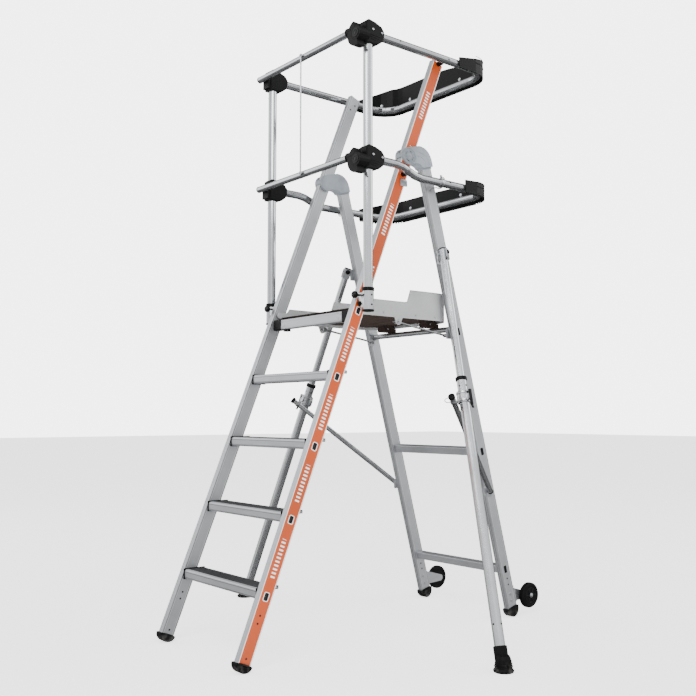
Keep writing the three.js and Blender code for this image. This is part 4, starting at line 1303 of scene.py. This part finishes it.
# ---- platform -----------------------------------------------------------------------------------------
class PLATFORM_OT_platform(PlatformBuilder, bpy.types.Operator):
    """Rolled edge, rivets and pivots of the toe board, and the deck's edge strip and pads"""
    bl_idname = "platform.platform"
    bl_label = "Deck and toe board"

    def execute(self, context):
        h = context.scene.platform_hardware
        rear, radius = 1000, 88
        edge = [(538, 1197), (549, 1212.5), (756, 1212.5), (773, 1259.5), (840, 1259.5)]
        edge.append((rear - radius, 1259.5))
        corner = []
        for i in range(1, 9):
            a = math.pi / 2 * i / 8
            x = 232 - radius + (radius - 1.2) * math.cos(a)
            corner.append((x, rear - radius + (radius - 1.2) * math.sin(a), 1259.5))
        right = [place(230.8, y, z) for y, z in edge] + [place(*p) for p in corner]
        left = [Vector((-p.x, p.y, p.z)) for p in reversed(right)]
        finish_piece(wire(right + left, 1.9), "toe_board_hem", "platform", "sheet", 60)
        spots = [facing(232, y, 1168, (1, 0, 0)) for y in (545, 640, 800, 900)]
        pair(stamped(domed(3.6, 1.4, 0.6), spots), "toe_board_rivets", "platform", "steel")
        back = [facing(x, rear, 1168, (0, 1, 0)) for x in (-120, -40, 40, 120)]
        finish_piece(stamped(domed(3.6, 1.4, 0.6), back), "toe_board_back_rivets", "platform", "steel")
        pivots = [facing(232, 505, 1186, (1, 0, 0))]
        pair(stamped(hex_bolt(h.bolt_radius, 3.6), pivots), "deck_pivots", "platform", "steel")
        ears = stamped(tube(9.5, 4.5, 1.6, 0, 24, 0.4), [facing(232, 713, 1141, (1, 0, 0))])
        pins = stamped(disc(4.2, 24, -19, 18, 0.6), [facing(231, 713, 1141, (1, 0, 0))])
        pair(merged([ears, pins]), "ear_pins", "platform", "steel")
        angle = block((3, 380, 20), (0, 0, 0), 0, 1, 0.7)
        pair(moved(angle, Matrix.Translation(place(226, 725, 1165.8))), "deck_side_angles", "platform",
             "sheet")
        ends = [facing(x + s * 22, 955, 1152, (s, 0, 0)) for x in (-125, 125) for s in (-1, 1)]
        finish_piece(stamped(domed(3.6, 1.4, 0.6), ends), "deck_pad_rivets", "platform", "steel")
        rods = [facing(212 + s * 3.2, 713, 1141, (s, 0, 0)) for s in (-1, 1)]
        rods += [facing(212 + s * 5.2, 972, 1103, (s, 0, 0)) for s in (-1, 1)]
        pair(stamped(domed(5.4, 2.2, 0.6, 18), rods), "lock_rod_ends", "lock_rod_body_{}", "steel")
        return self.done()


# ---- outriggers -----------------------------------------------------------------------------------------
class PLATFORM_OT_outriggers(PlatformBuilder, bpy.types.Operator):
    """Caps, collars, clamp levers and hinges of the telescopic outriggers and their struts"""
    bl_idname = "platform.outriggers"
    bl_label = "Outriggers"

    def execute(self, context):
        h = context.scene.platform_hardware
        cap = merged([disc(15.0, 6, -18, 28, 1.2), disc(12, 6, -14, 24)])
        pair(moved(cap, LEG_AXES), "leg_top_caps", "leg_upper_{}", "black")
        nuts = [LEG_AXES @ Matrix.Translation((s * 0.0202, 0, 0)) @ Matrix.Rotation(s * math.pi / 2, 4, "Y")
                for s in (-1, 1)]
        pair(stamped(hex_bolt(h.bolt_radius, 4.0), nuts), "leg_pivot_nuts", "rear_frame", "black")
        bolts = [facing(REAR_OUTER + 6, y, z, (1, 0, 0)) for y, z in ((894, 1374), (926, 1374), (894, 1404))]
        pair(stamped(domed(3.8, 1.6, 0.6), bolts), "leg_bracket_rivets", "rear_frame", "steel")
        collar = tube(20.4, 14.4, 14, 505, 32, 1.6)
        pair(moved(collar, LEG_AXES), "leg_collars", "leg_lower_{}", "black")
        # Dark discs: painted shade standing in for holes in the legs.
        holes = [LEG_AXES @ Matrix.Rotation(math.radians(a), 4, "Z") @ Matrix.Translation((0, 0, z * MM))
                 @ Matrix.Rotation(math.pi / 2, 4, "Y") @ Matrix.Translation((0, 0, 0.0171))
                 for a in (20, 110, 200, 290) for z in (540, 1350)]
        pair(stamped(disc(3.2, 0.8, 0, 16, 0.2), holes), "leg_holes", "leg_lower_{}", "hole")
        self.clamp()
        self.strut()
        return self.done()

    @staticmethod
    def clamp():
        """Two bands round the clamp with an ear, a screw and a folding lever."""
        around = Matrix.Rotation(math.radians(35), 4, "Z")
        bands = [tube(25.2, 23.6, 8, z, 32, 0.8) for z in (563, 591)]
        ear = moved(block((13, 10, 34), (0, 0, 0), 3, 1, 1.0), around @ Matrix.Translation((0.029, 0, 0.581)))
        behind = around @ Matrix.Translation((-0.0265, 0, 0.581))
        back = moved(block((9, 14, 26), (0, 0, 0), 3, 1, 1.0), behind)
        pair(moved(merged([*bands, ear, back]), LEG_AXES), "leg_clamp_bands", "leg_lower_{}", "steel")
        lever = block((6.5, 11, 58), (0, 0, 0), 2.4, 2, 0.8)
        choose(lever, "FACE", looks(Z_AXIS))
        push(x=4 * MM, z=13 * MM)
        bpy.ops.transform.resize(value=(0.85, 0.85, 1))
        leave_edit()
        lever = moved(lever, around @ Matrix.Translation((0.0385, 0, 0.592)))
        screw = moved(disc(4.4, 18, -9, 6, 0.6), around @ Matrix.Translation((0.031, 0, 0.572))
                      @ Matrix.Rotation(math.pi / 2, 4, "X"))
        pair(moved(merged([lever, screw]), LEG_AXES), "leg_levers", "leg_lower_{}", "gloss black")

    @staticmethod
    def strut():
        """The strut's caps, the bracket that hinges it, and the wire catch at its free end."""
        reach = (STRUT_HIGH - STRUT_LOW).length
        top = disc(12.4, 11, reach - 8, 28)
        choose(top, "FACE", looks(Z_AXIS))
        bpy.ops.mesh.bevel(offset=2.5 * MM, segments=3, affect="EDGES")
        leave_edit()
        low = disc(11.4, 6, -3, 24, 1.2)
        pair(moved(merged([top, low]), STRUT_AXES), "strut_caps", "strut_{}", "black")
        loop = []
        for i in range(28):
            a = 2 * math.pi * i / 28
            loop.append(STRUT_AXES @ (Vector((10 * math.cos(a), 22 + 13 * math.sin(a), reach - 30)) * MM))
        wires = wire(loop, 1.5, True)
        saddle = moved(tube(11.6, 10.2, 12, reach - 36, 24, 0.6), STRUT_AXES)
        pair(merged([wires, saddle]), "strut_catches", "strut_{}", "steel")
        web = block((3, 44, 40), (0, 0, 0), 6, 0, 0.7)
        web = moved(web, Matrix.Translation(place(REAR_OUTER + 1.8, 1150, 500)))
        pair(web, "strut_brackets", "rear_frame", "plate")
        places = ((1134, 514), (1134, 487), (1166, 487))
        heads = [facing(REAR_OUTER + 3.4, y, z, (1, 0, 0)) for y, z in places]
        pair(stamped(domed(3.6, 1.6, 0.6), heads), "strut_bracket_rivets", "rear_frame", "steel")


# ---- stage ------------------------------------------------------------------------------------------------
class PLATFORM_OT_stage(PlatformBuilder, bpy.types.Operator):
    """A pale floor, soft light and the camera"""
    bl_idname = "platform.stage"
    bl_label = "Stage"

    def execute(self, context):
        stage = context.scene.platform_stage
        clear_selection()
        bpy.ops.mesh.primitive_plane_add(size=60, location=(0, 0, 0))
        floor = bpy.context.object
        floor.name = "studio_floor"
        paper = Finish("studio floor", roughness=0.9, Specular_IOR_Level=0.2, Emission_Strength=2.0)
        paper.drive("Emission Color", [0.95, 0.95, 0.95])
        paper.drive("Base Color", paper.shaded([0.93, 0.93, 0.93], paper.noise(2.0, 3.0), 0.985, 1.015))
        floor.data.materials.append(paper.material)
        floor.visible_glossy = False
        self.sky(context, stage.daylight)
        self.lamp("key_light", (2.6, -3.4, 4.2), 3.2, 150)
        self.lamp("fill_light", (-4.2, -2.0, 2.8), 3.6, 45)
        self.lamp("back_light", (1.5, 4.5, 3.6), 3.0, 60)
        camera = bpy.data.objects.new("camera", bpy.data.cameras.new("camera"))
        context.collection.objects.link(camera)
        camera.location = stage.camera_place
        camera.rotation_euler = (math.pi / 2 + stage.camera_rise, 0, stage.camera_turn)
        camera.data.sensor_width = 36
        camera.data.lens = stage.focal_length
        context.scene.camera = camera
        return self.done()

    # Brightness round the horizon, as (turn, level): white panels with darker gaps between them.
    PANELS = (
        (0.00, 0.20), (0.05, 0.80), (0.19, 0.95), (0.225, 0.03), (0.255, 0.03), (0.29, 1.0),
        (0.43, 1.1), (0.475, 0.02), (0.515, 0.02), (0.545, 1.0), (0.70, 0.85), (0.75, 0.03),
        (0.86, 0.10), (1.00, 0.20),
    )
    # Brightness from the ground up to overhead.
    HEIGHTS = ((0.0, 0.10), (0.36, 0.16), (0.47, 0.85), (0.62, 1.0), (1.0, 1.25))
    BACKDROP = 5.0

    def sky(self, context, strength):
        """White panels all round, seen only in what the surfaces mirror, against a white backdrop."""
        world = bpy.data.worlds.new("studio")
        world.use_nodes = True
        tree = world.node_tree
        new = tree.nodes.new
        join = tree.links.new
        direction = new("ShaderNodeTexCoord").outputs["Generated"]
        round_about = new("ShaderNodeTexGradient")
        round_about.gradient_type = "RADIAL"
        join(direction, round_about.inputs["Vector"])
        upward = new("ShaderNodeSeparateXYZ")
        join(direction, upward.inputs[0])
        height = new("ShaderNodeMapRange")
        height.inputs["From Min"].default_value = -1
        join(upward.outputs["Z"], height.inputs["Value"])
        level = new("ShaderNodeMath")
        level.operation = "MULTIPLY"
        join(self.steps(new, join, round_about.outputs["Fac"], self.PANELS), level.inputs[0])
        join(self.steps(new, join, height.outputs[0], self.HEIGHTS), level.inputs[1])
        soft = new("ShaderNodeMath")
        soft.operation = "MULTIPLY"
        join(level.outputs[0], soft.inputs[0])
        soft.inputs[1].default_value = strength
        mirrored = tree.nodes["Background"]
        join(soft.outputs[0], mirrored.inputs["Strength"])
        mirrored.inputs["Color"].default_value = (1, 1, 1, 1)
        backdrop = new("ShaderNodeBackground")
        backdrop.inputs["Strength"].default_value = self.BACKDROP
        backdrop.inputs["Color"].default_value = (1, 1, 1, 1)
        chooser = new("ShaderNodeMixShader")
        join(new("ShaderNodeLightPath").outputs["Is Camera Ray"], chooser.inputs[0])
        join(mirrored.outputs[0], chooser.inputs[1])
        join(backdrop.outputs[0], chooser.inputs[2])
        join(chooser.outputs[0], tree.nodes["World Output"].inputs["Surface"])
        context.scene.world = world

    @staticmethod
    def steps(new, join, value, stops):
        """A level that eases from one stop to the next."""
        ramp = new("ShaderNodeValToRGB")
        elements = ramp.color_ramp.elements
        while len(elements) < len(stops):
            elements.new(0.5)
        for element, (position, brightness) in zip(elements, stops):
            element.position = position
            element.color = (brightness, brightness, brightness, 1)
        join(value, ramp.inputs["Fac"])
        return ramp.outputs["Color"]

    @staticmethod
    def lamp(name, location, size, power):
        light = bpy.data.lights.new(name, "AREA")
        light.size = size
        light.energy = power
        lamp = bpy.data.objects.new(name, light)
        lamp.location = location
        aim = Vector((0, 0, 1.1)) - lamp.location
        lamp.rotation_euler = aim.to_track_quat("-Z", "Y").to_euler()
        bpy.context.collection.objects.link(lamp)


class PLATFORM_PT_panel(bpy.types.Panel):
    """Lists the settings and the steps in their order"""
    bl_label = "Work platform"
    bl_idname = "PLATFORM_PT_panel"
    bl_space_type = "VIEW_3D"
    bl_region_type = "UI"
    bl_category = "Platform"

    def draw(self, context):
        scene = context.scene
        for group in (scene.platform_colours, scene.platform_hardware, scene.platform_stage):
            box = self.layout.box()
            for name in group.__annotations__:
                box.prop(group, name)
        for operator in STEPS:
            self.layout.operator(operator.bl_idname)


STEPS = [
    PLATFORM_OT_finishes, PLATFORM_OT_stage, PLATFORM_OT_stile_windows, PLATFORM_OT_tread_caps,
    PLATFORM_OT_stile_rivets, PLATFORM_OT_feet, PLATFORM_OT_posts, PLATFORM_OT_joints, PLATFORM_OT_gate,
    PLATFORM_OT_rails, PLATFORM_OT_trays, PLATFORM_OT_elbows, PLATFORM_OT_rear_frame, PLATFORM_OT_wheels,
    PLATFORM_OT_platform, PLATFORM_OT_outriggers,
]
SETTINGS = {
    "platform_colours": PlatformColours,
    "platform_hardware": PlatformHardware,
    "platform_stage": PlatformStage,
}


def register():
    for kind in (*SETTINGS.values(), *STEPS, PLATFORM_PT_panel):
        bpy.utils.register_class(kind)
    for name, kind in SETTINGS.items():
        setattr(bpy.types.Scene, name, bpy.props.PointerProperty(type=kind))


def unregister():
    for name in SETTINGS:
        delattr(bpy.types.Scene, name)
    for kind in reversed((*SETTINGS.values(), *STEPS, PLATFORM_PT_panel)):
        bpy.utils.unregister_class(kind)


def main():
    register()
    for step in STEPS:
        group, name = step.bl_idname.split(".")
        getattr(getattr(bpy.ops, group), name)()
    clear_selection()


if __name__ == "__main__":
    main()
